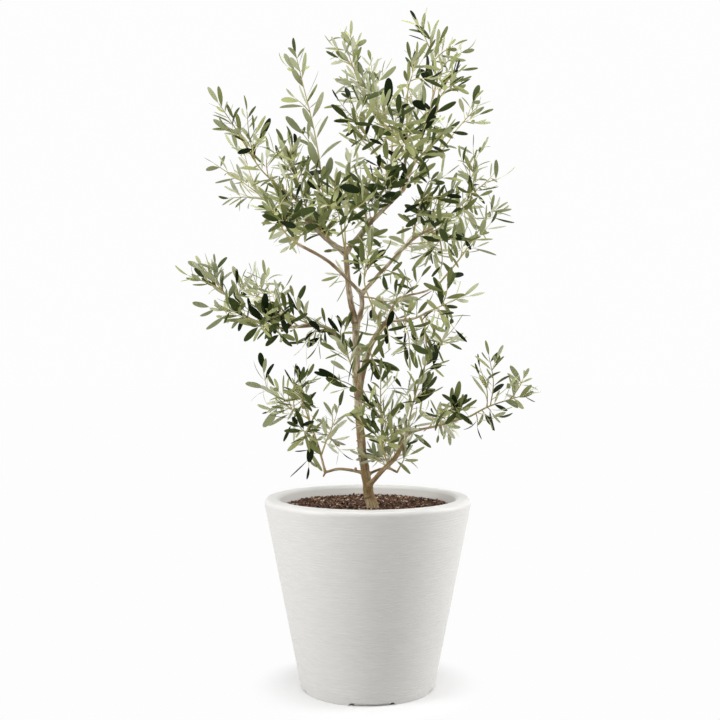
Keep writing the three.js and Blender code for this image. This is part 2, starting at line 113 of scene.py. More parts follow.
class Nodes:
    """The nodes of one material, or of the light that surrounds the scene."""

    def __init__(self, tree):
        self.tree = tree

    def feed(self, socket, value):
        """Links a signal to a socket, or sets it to a colour or a number."""
        if isinstance(value, Signal):
            self.tree.links.new(value.socket, socket)
        elif isinstance(value, str):
            socket.default_value = (*colour(value), 1.0)
        else:
            socket.default_value = value

    def node(self, kind, settings=None, values=None, output=0):
        """A new node: first its settings, then what its sockets hold or are linked to."""
        made = self.tree.nodes.new(kind)
        for key, value in (settings or {}).items():
            setattr(made, key, value)
        for key, value in (values or {}).items():
            self.feed(made.inputs[key], value)
        return Signal(self, made.outputs[output])


class Finish(Nodes):
    """A surface finish: one material, its constants on the shader's own sockets."""

    def __init__(self, name, base, roughness, **constants):
        self.material = bpy.data.materials.new(name)
        self.material.use_nodes = True
        super().__init__(self.material.node_tree)
        self.shader = self.tree.nodes["Principled BSDF"]
        self.give(base_color=base, roughness=roughness, **constants)

    def give(self, **sockets):
        """Sets the shader's sockets, or feeds signals to them."""
        for key, value in sockets.items():
            name = key.replace("_", " ").title().replace("Ior", "IOR")
            self.feed(self.shader.inputs[name], value)

    def stretched(self, where, scale):
        return self.node("ShaderNodeVectorMath", {"operation": "MULTIPLY"}, {0: where, 1: scale})

    def place(self, scale=(1.0, 1.0, 1.0)):
        """Where on the object a point is, stretched by a scale along each axis."""
        return self.stretched(self.node("ShaderNodeTexCoord", output=3), scale)

    def grain(self, scale=(1.0, 1.0, 1.0)):
        """Where a point is on its own limb: two measures across it and one along it."""
        stored = {"attribute_name": "grain"}
        return self.stretched(self.node("ShaderNodeAttribute", stored, output=1), scale)

    def third(self, where):
        """The last measure of a place: its height, or how far along its limb it is."""
        return self.node("ShaderNodeSeparateXYZ", None, {0: where}, output=2)

    def from_middle(self):
        """How far a point is from the planter's upright axis."""
        flat = self.place((1.0, 1.0, 0.0))
        return self.node("ShaderNodeVectorMath", {"operation": "LENGTH"}, {0: flat}, output=1)

    def cloud(self, where, detail=3.0, roughness=0.5):
        """Soft noise, about 0.3 to 0.7."""
        values = {"Vector": where, "Scale": 1.0, "Detail": detail, "Roughness": roughness}
        return self.node("ShaderNodeTexNoise", {"noise_dimensions": "3D"}, values)

    def blend(self, share, first, second):
        """The first colour where share is 0 and the second where it is 1."""
        settings = {"data_type": "RGBA", "clamp_factor": True}
        return self.node("ShaderNodeMix", settings, {0: share, 6: first, 7: second}, output=2)

    def bump(self, height, distance):
        """Raises the surface by a signal, times a distance in metres."""
        values = {"Height": height, "Distance": distance, "Strength": 1.0}
        self.give(normal=self.node("ShaderNodeBump", None, values))


def new_mesh(name, points, faces):
    """A mesh from points in metres and faces of any number of corners."""
    mesh = bpy.data.meshes.new(name)
    mesh.from_pydata(np.asarray(points).tolist(), [], [list(map(int, face)) for face in faces])
    return mesh


def make_piece(name, mesh, finish, smooth=True):
    """A piece that rides with the plant and takes its finish from a slot."""
    mesh.polygons.foreach_set("use_smooth", [smooth] * len(mesh.polygons))
    mesh.materials.clear()
    mesh.materials.append(finish.material)
    piece = bpy.data.objects.new(name, mesh)
    bpy.context.collection.objects.link(piece)
    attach(piece, "root")
    return piece


def ring_faces(rings, around):
    """Quads between neighbouring rings of points, each ring closed on itself."""
    row = np.arange(around)
    onward = np.roll(row, -1)
    band = np.stack([row, onward, around + onward, around + row], axis=1)
    return np.concatenate([k * around + band for k in range(rings - 1)])


def lobe(r, z, radius, start, end, steps):
    """Points round part of a circle, from one angle in degrees to another."""
    turn = np.radians(np.linspace(start, end, steps))
    return np.stack([r + radius * np.cos(turn), z + radius * np.sin(turn)], axis=1)


def straight(first, last, steps):
    """Points along a straight line, with both of its ends."""
    return np.linspace(first, last, steps)


def ease(values, low, high):
    """0 up to low and 1 from high on, with a smooth rise from one to the other."""
    share = np.clip((values - low) / (high - low), 0.0, 1.0)
    return share * share * (3.0 - 2.0 * share)


def smooth_noise(points, size, seed):
    """Noise from -1 to 1 at each point, with features of about the given size."""
    shift = Vector((seed * 7.3, seed * 3.1, seed * 5.7))
    return np.array([noise.noise(Vector(p) / size + shift) for p in points])


pot_low, pot_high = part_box("pot")
RIM_RADIUS = (pot_high[0] - pot_low[0]) / 2
POT_HEIGHT = pot_high[2]
FOOT_RADIUS = 0.166
MOUTH_RADIUS = 0.2165
THROAT = {"radius": 0.207, "depth": 0.021, "step_in": 0.0015, "step_down": 0.005}
BED = {"radius": 0.19, "depth": 0.09, "step_in": 0.005, "step_down": 0.01}
LIP = 0.012
INNER_EDGE = {"round": 0.014, "across": 0.0117, "down": 0.0064}
FOOT_ROUND = 0.003
FEET = {"height": 0.0056, "width": 0.026, "chamfer": 0.0012, "slant": 1.6, "skirt": 0.0045, "slot": 3.4}
# The recesses between the feet, in degrees from the front to the right.
FEET_GAPS = [(-15.75, 23.25), (62.25, 123.75), (164.25, 201.75), (242.25, 298.25)]
RIBS = {"pitch": 0.0064, "relief": 0.00038, "waver": 0.0028, "inset": 0.0004,
        "above_foot": 0.010, "fade_in": 0.01, "below_rim": 0.026, "fade_out": 0.004}
WAVER = {"flatter": (1, 1, 2.2), "size": 0.050}
PATCHES = {"flatter": (1, 1, 4.5), "size": 0.030}
AROUND = 288
WALL_ROWS = 330
SEAM = 0.001  # from the end of one stretch of the section to the start of the next


def pot_foot():
    """The half section of the underside, from its middle out and round the foot's edge."""
    flat_end = FOOT_RADIUS - FEET["width"]
    return np.concatenate([
        straight((SEAM / 2, 0.0), (flat_end - SEAM, 0.0), 4),
        straight((flat_end, 0.0), (FOOT_RADIUS - FOOT_ROUND, 0.0), 8),
        lobe(FOOT_RADIUS - FOOT_ROUND, FOOT_ROUND, FOOT_ROUND, -70, -8, 4),
    ])


def pot_inside():
    """The half section of the inner edge of the rim and of the inside, down to the bed of the mix."""
    flat_end = MOUTH_RADIUS + INNER_EDGE["across"]
    edge_end = POT_HEIGHT - INNER_EDGE["down"]
    throat_end = POT_HEIGHT - THROAT["depth"]
    bed_end = POT_HEIGHT - BED["depth"]
    floor = bed_end - BED["step_down"]
    return np.concatenate([
        straight((RIM_RADIUS - LIP - 2 * SEAM, POT_HEIGHT), (flat_end + SEAM, POT_HEIGHT), 6),
        lobe(flat_end, POT_HEIGHT - INNER_EDGE["round"], INNER_EDGE["round"], 90, 147, 11),
        straight((MOUTH_RADIUS - 0.6 * SEAM, edge_end - SEAM), (THROAT["radius"], throat_end), 6),
        straight((THROAT["radius"] - THROAT["step_in"], throat_end - THROAT["step_down"]),
                 (BED["radius"], bed_end), 5),
        straight((BED["radius"] - BED["step_in"], floor), (SEAM, floor), 3),
    ])


def build_pot():
    """The planter's section turned round, with its ribs combed in and its foot notched."""
    foot = pot_foot()
    wall_top = lobe(RIM_RADIUS - LIP, POT_HEIGHT - LIP, LIP, -10, 90, 12)
    side = straight((FOOT_RADIUS, FOOT_ROUND + SEAM), wall_top[0], WALL_ROWS)[:-1]
    outline = np.concatenate([foot, side, wall_top, pot_inside()])
    wall = np.zeros((len(outline), 1), bool)
    wall[len(foot):len(foot) + len(side)] = True
    turn = np.linspace(0.0, 2 * np.pi, AROUND, endpoint=False)
    radius = np.repeat(outline[:, 0], AROUND).reshape(-1, AROUND)
    height = np.repeat(outline[:, 1], AROUND).reshape(-1, AROUND)
    angle = np.tile(turn, (len(outline), 1))
    low, high = RIBS["above_foot"], POT_HEIGHT - RIBS["below_rim"]
    rough = wall * ease(height, low, low + RIBS["fade_in"])
    rough = rough * (1 - ease(height, high - RIBS["fade_out"], high))
    lines = rough > 0
    places = np.stack([radius * np.cos(angle), radius * np.sin(angle), height], axis=-1)[lines]
    waver = np.zeros_like(height)
    patch = np.zeros_like(height)
    waver[lines] = smooth_noise(places * WAVER["flatter"], WAVER["size"], 1)
    patch[lines] = smooth_noise(places * PATCHES["flatter"], PATCHES["size"], 2)
    comb = np.sin(2 * np.pi * (height + RIBS["waver"] * waver) / RIBS["pitch"])
    relief = RIBS["relief"] * rough * (comb * (0.7 + 0.7 * patch) + 0.6 * patch)
    radius = radius + relief - RIBS["inset"] * rough
    gap = np.zeros_like(angle)
    skirt = np.zeros(angle.shape, bool)
    behind = radius < FOOT_RADIUS - FEET["skirt"]
    front = (np.degrees(angle) + 90.0) % 360.0
    for start, end in FEET_GAPS:
        for turn_by in (0.0, 360.0):
            first, last = start + turn_by, end + turn_by
            within = ease(front, first, first + FEET["slant"])
            gap = np.maximum(gap, within * (1 - ease(front, last - FEET["slant"], last)))
            skirt |= behind & (front > first + FEET["slot"]) & (front < last - FEET["slot"])
    gap = np.where(skirt, 0.0, gap)
    edge = (radius > FOOT_RADIUS - FEET["width"] - SEAM / 2) & (height < FEET["height"] + FEET["chamfer"])
    recess = gap * (FEET["height"] + FEET["chamfer"] * (height > SEAM))
    height = np.where(edge, np.maximum(height, recess), height)
    points = np.stack([radius * np.cos(angle), radius * np.sin(angle), height], axis=-1).reshape(-1, 3)
    return points, ring_faces(len(outline), AROUND)


pot_finish = Finish("moulded_planter", "#dad9d5", 0.5, specular_ior_level=0.4)
brushed = pot_finish.cloud(pot_finish.place((34.0, 34.0, 420.0)), 4.0, 0.6)
mottled = pot_finish.cloud(pot_finish.place((9.0, 9.0, 22.0)), 3.0)
pot_middle = pot_finish.from_middle()
pot_rise = pot_finish.third(pot_finish.place())
within_mouth = 1 - pot_middle.between(MOUTH_RADIUS - 0.001, MOUTH_RADIUS + 0.001)
inside = within_mouth * pot_rise.between(POT_HEIGHT - 0.12, POT_HEIGHT - 0.10)
on_rim = pot_rise.between(POT_HEIGHT - 0.013, POT_HEIGHT - 0.004) * (1 - inside)
# Below the rim the inner wall gets a darker base colour (#d5d2cf): painted shade, where the planter's mouth
# shades its inside.
painted_shade_inside = inside * (1 - pot_rise.between(POT_HEIGHT - 0.016, POT_HEIGHT - 0.002))
combed = pot_finish.blend(brushed.between(0.35, 0.7) * 0.5 + mottled * 0.4, "#d1cfcb", "#dddbd8")
smooth_rim = pot_finish.blend(on_rim, combed, "#dfdedb")
pot_finish.give(base_color=pot_finish.blend(painted_shade_inside, smooth_rim, "#d5d2cf"), roughness=0.52 - on_rim * 0.22)
pot_finish.bump(brushed, 0.0003)
pot = make_piece("planter", new_mesh("planter", *build_pot()), pot_finish)
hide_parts("pot")

# ---- Potting mix -------------------------------------------------------------------------------
# The planter is filled to a finger's width below its rim with potting mix, made here as a shallow
# body with a lumpy top. On it lies a loose layer of chipped bark: small chips, split unevenly, that
# lie flat or on edge.

SOIL_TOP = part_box("soil")[1][2]
SOIL_RADIUS = 0.2065
SOIL_BOTTOM = {"radius": 0.19, "depth": 0.08}
SOIL_UNDER_CHIPS = 0.002
CHIP_LAYER = 0.0050
SOIL_DRAWN_DOWN = {"from": 0.18, "by": 0.002}
SOIL_LUMPS = [(38, 1.7, 0.0022), (13, 5.1, 0.002)]  # how many a metre, their seed, their height
SOIL_RINGS = 34
SOIL_AROUND = 96
SOIL_PINHOLE = 0.0008
TRUNK_FOOT = (0.010, -0.050)
TRUNK_CLEARANCE = 0.017
CHIP_TINTS = {"dark": ("#28160f", 0.28), "brown": ("#604235", 0.38),
              "russet": ("#8b6a52", 0.27), "pale": ("#d6c3ae", 0.07)}
CHIP_COUNT = 8200
CHIP_REACH = SOIL_RADIUS - 0.003
CHIP_LIMIT = SOIL_RADIUS + 0.0005
CHIP_SIZES = (0.0056, 0.0028, 0.0017)  # half length, half width, half thickness
CHIP_SPREAD = {"size": (0.45, 1.25), "sides": (0.75, 1.25), "corners": (0.72, 1.15),
               "nose_down": (0.0, 0.45), "on_edge": (0.0, 0.55), "lift": (-0.001, 0.0032)}

soil_finish = Finish("potting_mix", "#2e1b14", 0.95, specular_ior_level=0.15)
crumbs = soil_finish.cloud(soil_finish.place((260.0, 260.0, 260.0)), 4.0, 0.65)
soil_finish.give(base_color=soil_finish.blend(crumbs.between(0.4, 0.65), "#24140e", "#4a2e22"))
soil_finish.bump(crumbs, 0.002)


def soil_level(x, y):
    """The height of the mix: lumpy, and drawn down a little at the planter's wall."""
    lumps = sum(noise.noise(Vector((x * fine, y * fine, seed))) * high for fine, seed, high in SOIL_LUMPS)
    near_wall = float(ease(math.hypot(x, y), SOIL_DRAWN_DOWN["from"], SOIL_RADIUS))
    return SOIL_TOP - CHIP_LAYER + lumps - SOIL_DRAWN_DOWN["by"] * near_wall


def build_soil():
    """A lumpy disc with a skirt that narrows downwards inside the planter's wall."""
    turns = np.linspace(0, 2 * np.pi, SOIL_AROUND, endpoint=False)
    points = []
    for k in range(SOIL_RINGS):
        r = SOIL_PINHOLE + (SOIL_RADIUS - SOIL_PINHOLE) * k / (SOIL_RINGS - 1)
        for turn in turns:
            x, y = r * math.cos(turn), r * math.sin(turn)
            points.append((x, y, soil_level(x, y) - SOIL_UNDER_CHIPS))
    low_radius, low = SOIL_BOTTOM["radius"], POT_HEIGHT - SOIL_BOTTOM["depth"]
    points += [(low_radius * math.cos(turn), low_radius * math.sin(turn), low) for turn in turns]
    return points, ring_faces(SOIL_RINGS + 1, SOIL_AROUND)


soil = make_piece("potting_mix", new_mesh("potting_mix", *build_soil()), soil_finish)
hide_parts("soil")

GOLDEN = (1 + 5 ** 0.5) / 2


def ball():
    """The corners and faces of a twenty-faced ball of radius 1."""
    near, far = 1 / math.hypot(1, GOLDEN), GOLDEN / math.hypot(1, GOLDEN)
    corners = np.array([(x * near, y * far, 0) for x in (-1, 1) for y in (-1, 1)]
                       + [(0, x * near, y * far) for x in (-1, 1) for y in (-1, 1)]
                       + [(x * far, 0, y * near) for x in (-1, 1) for y in (-1, 1)])
    faces = []
    for a in range(12):
        for b in range(a + 1, 12):
            for c in range(b + 1, 12):
                sides = [np.linalg.norm(corners[p] - corners[q]) for p, q in ((a, b), (b, c), (a, c))]
                if max(sides) < 1.2:
                    out = np.dot(np.cross(corners[b] - corners[a], corners[c] - corners[a]), corners[a])
                    faces.append((a, b, c) if out > 0 else (a, c, b))
    return corners, np.array(faces)


def turned(directions, axis, angle):
    """Directions turned about a unit axis."""
    axis = np.asarray(axis, float)
    cos, sin = math.cos(angle), math.sin(angle)
    return (directions * cos + np.cross(axis, directions) * sin
            + np.outer(np.atleast_2d(directions) @ axis, axis).reshape(np.shape(directions)) * (1 - cos))


def build_chips(rng):
    """The points and faces of the chips of each tint, spread evenly round the trunk."""
    corners, faces = ball()
    made = {tint: ([], []) for tint in CHIP_TINTS}
    tints = rng.choice(list(CHIP_TINTS), CHIP_COUNT, p=[share for _, share in CHIP_TINTS.values()])
    for i in range(CHIP_COUNT):
        r = CHIP_REACH * math.sqrt((i + 0.5) / CHIP_COUNT)
        turn = i * 2 * math.pi / GOLDEN ** 2
        x, y = r * math.cos(turn), r * math.sin(turn)
        if math.hypot(x - TRUNK_FOOT[0], y - TRUNK_FOOT[1]) < TRUNK_CLEARANCE:
            continue
        size = np.array(CHIP_SIZES) * rng.uniform(*CHIP_SPREAD["size"])
        size = size * rng.uniform(*CHIP_SPREAD["sides"], 3)
        shape = corners * rng.uniform(*CHIP_SPREAD["corners"], (len(corners), 1)) * size
        shape = turned(shape, (0, 1, 0), rng.normal(*CHIP_SPREAD["nose_down"]))
        shape = turned(shape, (1, 0, 0), rng.normal(*CHIP_SPREAD["on_edge"]))
        shape = turned(shape, (0, 0, 1), rng.uniform(0, math.pi))
        lift = rng.uniform(*CHIP_SPREAD["lift"]) + 0.25 * size[1]
        shape = shape + (x, y, soil_level(x, y) + lift)
        reach = np.hypot(shape[:, 0], shape[:, 1]).max()
        if reach > CHIP_LIMIT:
            shape[:, :2] *= CHIP_LIMIT / reach
        points, triangles = made[tints[i]]
        triangles.append(faces + len(corners) * len(points))
        points.append(shape)
    return made


for tint, (points, triangles) in build_chips(np.random.default_rng(5)).items():
    chips = f"bark_chips_{tint}"
    chip_finish = Finish(chips, CHIP_TINTS[tint][0], 0.85, specular_ior_level=0.3)
    chip_mesh = new_mesh(chips, np.concatenate(points), np.concatenate(triangles))
    make_piece(chips, chip_mesh, chip_finish, smooth=False)

# ---- Trunk and boughs --------------------------------------------------------------------------
# One leaning trunk forks into two stems, and slender boughs leave them with a small swollen
# collar each. The bark is grey-tan and thin, with fine lengthwise streaks, ring scars where
# leaf pairs once stood, and a few short stubs and knots left by pruning.

TRUNK = {
    "way": [(13, -51, 430), (-5, -45, 525), (-15, -40, 595), (-25, -25, 740), (-30, -20, 895)],
    "radii": (11.2, 8.4), "flare": 7.5, "flare_height": 34.0,
    "rings": (38, 63, 115, 172, 188, 284, 308),
}
# Each limb, in millimetres: the limb it starts on, how far along, its way and its radii.
LIMBS = {
    "left_stem": ("trunk", 1, [(-45, -10, 965), (-55, 10, 1070)], (7.4, 6.6)),
    "right_stem": ("trunk", 0.97, [(-15, -25, 930), (-15, -35, 965)], (6.2, 5.6)),
    "upper_left_bough": ("left_stem", 1, [(-95, -20, 1095), (-150, -50, 1145)], (7.2, 5.0)),
    "upper_right_bough": ("left_stem", 1, [(0, 30, 1140), (90, 65, 1235)], (6.4, 4.6)),
    "top_back_bough": ("upper_right_bough", 0.8, [(60, 110, 1305), (65, 160, 1390)], (3.4, 2.5)),
    "top_front_bough": ("upper_right_bough", 1, [(95, 0, 1320), (95, -60, 1380)], (3.4, 2.5)),
    "top_right_bough": ("upper_right_bough", 1, [(120, 90, 1315), (155, 110, 1430), (180, 120, 1530)],
        (4.0, 2.5)),
    "crossing_bough": ("right_stem", 1, [(-90, -95, 1035), (-165, -145, 1075)], (4.6, 3.6)),
    "right_bough": ("right_stem", 1, [(45, 20, 1035), (115, 75, 1110), (170, 110, 1145)], (5.2, 3.0)),
    "front_right_limb": ("trunk", 0.71, [(-5, -60, 800), (10, -80, 845), (45, -90, 895)], (7.6, 6.2)),
    "right_low_bough": ("front_right_limb", 1, [(105, -130, 900), (140, -145, 915)], (3.4, 2.4)),
    "right_rising_bough": ("front_right_limb", 1, [(75, -40, 950), (145, 20, 975), (180, 50, 995)],
        (3.4, 2.2)),
    "left_low_bough": ("trunk", 0.89, [(-90, 35, 875), (-130, 65, 890), (-220, 90, 885)], (5.6, 3.8)),
    "lowest_left_bough": ("trunk", 0.26, [(-65, -20, 535), (-105, 0, 525)], (3.9, 3.2)),
    "lowest_left_riser": ("lowest_left_bough", 1, [(-125, 30, 590), (-150, 50, 655)], (3.0, 2.2)),
    "lowest_right_bough": ("trunk", 0.165, [(40, -95, 545), (70, -85, 575), (95, -40, 625)], (5.7, 5.4)),
    "lowest_right_arm": ("lowest_right_bough", 1, [(180, 30, 640), (260, 65, 660)], (3.5, 2.3)),
    "short_right_bough": ("trunk", 0.24, [(25, -40, 535), (50, -50, 540), (70, -90, 535)], (3.4, 2.8)),
}
# Knots and stubs: the limb, how far along, the direction it points in, its length and radius.
KNOTS = [
    ("trunk", 0.66, (-1, -0.4, 0.1), 12.0, 3.2),
    ("trunk", 0.78, (-1, -0.3, 0.3), 13.5, 4.0),
    ("trunk", 0.52, (-1, -0.4, 0.2), 13.5, 2.6),
    ("trunk", 0.42, (0.6, -1, 0.1), 11.5, 2.6),
    ("left_stem", 0.45, (1, -0.4, 0.4), 9.5, 2.6),
    ("lowest_left_bough", 0.2, (0.1, -0.3, 1), 9.5, 3.4),
    ("lowest_left_bough", 1.0, (-0.5, -0.2, -1), 13.0, 2.4),
    ("lowest_right_bough", 0.72, (-0.5, -0.3, 1), 8.0, 2.6),
    ("front_right_limb", 0.55, (-1, -0.3, 0.4), 8.5, 2.8),
    ("front_right_limb", 1.0, (0.2, -0.3, 1), 8.0, 3.4),
    ("right_bough", 0.68, (0.1, -0.4, 1), 7.5, 3.0),
    ("upper_right_bough", 0.55, (0.6, -0.4, -0.7), 8.0, 2.6),
    ("upper_left_bough", 0.6, (-0.2, -0.4, -1), 8.0, 2.6),
    ("left_low_bough", 0.5, (0.1, -0.4, -1), 7.0, 2.4),
]
KNOT_TAPER = (1.5, 1.25, 1.0, 0.95, 0.6)
KNOT_SIDES = 12
# Swellings on a limb: their share of its radius, half their length, and where they stand.
RING_SWELLING = {"share": 0.05, "length": 2.4}
NODE_SWELLING = {"share": (0.05, 0.13), "length": 2.6, "first": 12.0, "spacing": (24, 46)}
TRUNK_NODES = {"share": 0.6, "spacing": 1.4}  # weaker and further apart
COLLAR = {"share": 0.45, "length": 0.9}  # its length in radii of the limb
WANDER = {"share": 0.16, "length": 34.0, "from": 20.0}
MM = 0.001
LIMB_STEP = 3.0
FINE_STEPS = 400
ANY_WAY = (0.31, 0.95, 0.05)  # only has to differ from the way a limb sets out
LIMB_SIDES = 18
VOXEL = 0.0011
BARK_RELIEF = {"share": 0.055, "most": 0.0006, "swell": 0.0001}
POINTS_AT_ONCE = 4000
RING_SCAR = {"above": 1.6, "full": 0.0003, "gone": 0.0016}


def course(points):
    """A smooth line through the points, as a function of 0 to 1 along it."""
    points = np.array(points, float)
    line = np.vstack([2 * points[0] - points[1], points, 2 * points[-1] - points[-2]])
    last = len(points) - 1

    def at(share):
        share = np.clip(np.atleast_1d(share), 0.0, 1.0) * last
        k = np.minimum(share.astype(int), last - 1)
        w = (share - k)[:, None]
        a, b, c, d = line[k], line[k + 1], line[k + 2], line[k + 3]
        start, end = (c - a) / 2, (d - b) / 2
        curve = (2 * b - 2 * c + start + end) * w ** 3 + (3 * c - 3 * b - 2 * start - end) * w ** 2
        return curve + start * w + b

    return at


def unit(vector):
    """A vector, or each of many, made 1 long."""
    return vector / np.maximum(np.linalg.norm(vector, axis=-1, keepdims=True), 1e-12)


def heading(at, share):
    """The direction of a course at a point along it."""
    return unit(at(min(share + 0.001, 1.0))[0] - at(max(share - 0.001, 0.0))[0])


def measured(at, step):
    """Points evenly spaced along a course, their distances along it and their directions."""
    fine = at(np.linspace(0, 1, FINE_STEPS))
    run = np.concatenate([[0.0], np.cumsum(np.linalg.norm(np.diff(fine, axis=0), axis=1))])
    count = max(3, int(round(run[-1] / step)) + 1)
    stops = np.linspace(0, run[-1], count)
    line = np.stack([np.interp(stops, run, fine[:, k]) for k in range(3)], axis=1)
    return line, stops, unit(np.gradient(line, axis=0))


def cross_axes(directions):
    """Two directions across each step of a line, carried along it without twisting."""
    first = np.zeros_like(directions)
    first[0] = unit(np.cross(directions[0], ANY_WAY))
    for k in range(1, len(directions)):
        first[k] = unit(first[k - 1] - np.dot(first[k - 1], directions[k]) * directions[k])
    return first, np.cross(directions, first)


def tube(line, directions, radii, sides):
    """Closed rings round a line with a cap at each end."""
    first, second = cross_axes(directions)
    turn = np.linspace(0, 2 * np.pi, sides, endpoint=False)[None, :, None]
    ring = first[:, None] * np.cos(turn) + second[:, None] * np.sin(turn)
    rings = line[:, None] + radii[:, None, None] * ring
    points = np.concatenate([rings.reshape(-1, 3), line[:1], line[-1:]])
    row = np.arange(sides)
    last = (len(line) - 1) * sides
    caps = [np.stack([np.roll(row, -1), row, np.full(sides, len(points) - 2)], axis=1),
            np.stack([last + row, last + np.roll(row, -1), np.full(sides, len(points) - 1)], axis=1)]
    return points, list(ring_faces(len(line), sides)) + list(np.concatenate(caps))


limb_courses = {"trunk": course(TRUNK["way"])}
limb_radii = {"trunk": TRUNK["radii"]}
for limb_name, (host, share, way, radii) in LIMBS.items():
    limb_courses[limb_name] = course([limb_courses[host](share)[0], *way])
    limb_radii[limb_name] = radii


def swelling(run, middle, share, length):
    """How many times greater the radius is near a swelling."""
    return 1 + share * np.exp(-((run - middle) / length) ** 2)


def limb_profile(name, run, rng):
    """Radii along a limb: an even taper, a collar at its foot and small swellings at old nodes."""
    length = run[-1]
    radii = np.interp(run, (0, length), limb_radii[name])
    weaker, further = 1.0, 1.0
    if name == "trunk":
        weaker, further = TRUNK_NODES["share"], TRUNK_NODES["spacing"]
        radii = radii + TRUNK["flare"] * np.exp(-run / TRUNK["flare_height"])
        for ring in TRUNK["rings"]:
            radii = radii * swelling(run, ring, RING_SWELLING["share"], RING_SWELLING["length"])
    else:
        host, share = LIMBS[name][:2]
        outside_host = np.maximum(run - limb_radii[host][0 if share < 0.5 else 1], 0)
        radii = radii * (1 + COLLAR["share"] * np.exp(-outside_host / (COLLAR["length"] * radii[0])))
    node = NODE_SWELLING["first"]
    while node < length:
        share = rng.uniform(*NODE_SWELLING["share"]) * weaker
        radii = radii * swelling(run, node, share, NODE_SWELLING["length"])
        node += rng.uniform(*NODE_SWELLING["spacing"]) * further
    return radii


def join_tubes(tubes):
    """The points and faces of many tubes as one."""
    points, faces, count = [], [], 0
    for shape, sides in tubes:
        points.append(shape)
        faces += [[index + count for index in face] for face in sides]
        count += len(shape)
    return np.concatenate(points), faces


def wander(run, index):
    """A slow wave along each axis, different for each limb."""
    waves = [[Vector((stop, axis * 9.1, index)) for axis in range(3)] for stop in run / WANDER["length"]]
    return np.array([[noise.noise(place) for place in row] for row in waves])


def build_limbs(rng):
    """The tubes of limbs and knots, and each station's middle, axes, distance and radius."""
    tubes, stations = [], []
    for index, (name, at) in enumerate(limb_courses.items()):
        line, run, directions = measured(at, LIMB_STEP)
        radii = limb_profile(name, run, rng)
        free = np.minimum(1, run / WANDER["from"])
        line = line + wander(run, index) * WANDER["share"] * radii[:, None] * free[:, None]
        tubes.append(tube(line * MM, directions, radii * MM, LIMB_SIDES))
        stations.append((line * MM, *cross_axes(directions), run * MM + 1.7 * index, radii * MM))
    for host, share, pointing, length, radius in KNOTS:
        start = limb_courses[host](share)[0]
        reach = np.linspace(0, 1, len(KNOT_TAPER))
        line = start + np.outer(reach, unit(np.array(pointing, float)) * length)
        radii = radius * np.array(KNOT_TAPER)
        tubes.append(tube(line * MM, unit(np.gradient(line, axis=0)), radii * MM, KNOT_SIDES))
    return join_tubes(tubes), [np.concatenate(column) for column in zip(*stations)]


def remeshed(points, faces, voxel):
    """One clean skin round overlapping tubes."""
    mesh = new_mesh("raw_limbs", points, faces)
    raw = bpy.data.objects.new("raw_limbs", mesh)
    bpy.context.collection.objects.link(raw)
    skin = raw.modifiers.new("skin", "REMESH")
    skin.mode = "VOXEL"
    skin.voxel_size = voxel
    even = raw.modifiers.new("even", "SMOOTH")
    even.factor = 0.5
    even.iterations = 3
    done = bpy.data.meshes.new_from_object(raw.evaluated_get(bpy.context.evaluated_depsgraph_get()))
    bpy.data.objects.remove(raw)
    bpy.data.meshes.remove(mesh)
    return done


def dress_bark(mesh, stations):
    """Presses the bark's relief into the skin and stores each point's place on its own limb."""
    line, first, second, run, radii = stations
    count = len(mesh.vertices)
    where, out = np.empty((2, count * 3))
    mesh.vertices.foreach_get("co", where)
    mesh.vertices.foreach_get("normal", out)
    where, out = where.reshape(-1, 3), out.reshape(-1, 3)
    nearest = []
    for block in np.array_split(where, count // POINTS_AT_ONCE + 1):
        gap = np.linalg.norm(block[:, None] - line[None], axis=2) - radii[None]
        nearest.append(gap.argmin(axis=1))
    nearest = np.concatenate(nearest)
    away = where - line[nearest]
    across = [(away * axis[nearest]).sum(1) for axis in (first, second)]
    grain = np.stack([*across, run[nearest]], axis=1)
    streaks = smooth_noise(grain * (1.0, 1.0, 0.12), 0.0021, 3)
    rings = smooth_noise(grain * (0.25, 0.25, 1.0), 0.0034, 4)
    lumps = smooth_noise(grain * (1.0, 1.0, 0.6), 0.011, 5)
    depth = np.minimum(radii[nearest] * BARK_RELIEF["share"], BARK_RELIEF["most"])
    relief = 0.35 * streaks + np.maximum(rings - 0.3, 0) + 0.8 * lumps
    shift = depth * relief + BARK_RELIEF["swell"]
    mesh.vertices.foreach_set("co", (where + out * shift[:, None]).ravel())
    store = mesh.attributes.new("grain", "FLOAT_VECTOR", "POINT")
    store.data.foreach_set("vector", grain.ravel())
    mesh.update()


bark_finish = Finish("olive_bark", "#a8956c", 0.8, specular_ior_level=0.3)
fibre = bark_finish.cloud(bark_finish.grain((520.0, 520.0, 30.0)), 4.0, 0.6)
scars = bark_finish.cloud(bark_finish.grain((40.0, 40.0, 380.0)), 2.0, 0.5)
along_limb = bark_finish.third(bark_finish.grain())
ring_scar = 0
for ring in TRUNK["rings"]:
    away = abs(along_limb - (ring + RING_SCAR["above"]) * MM)
    ring_scar = ring_scar + (1 - away.between(RING_SCAR["full"], RING_SCAR["gone"]))
patches = bark_finish.cloud(bark_finish.grain((60.0, 60.0, 22.0)), 3.0, 0.5)
up_plant = bark_finish.third(bark_finish.place())
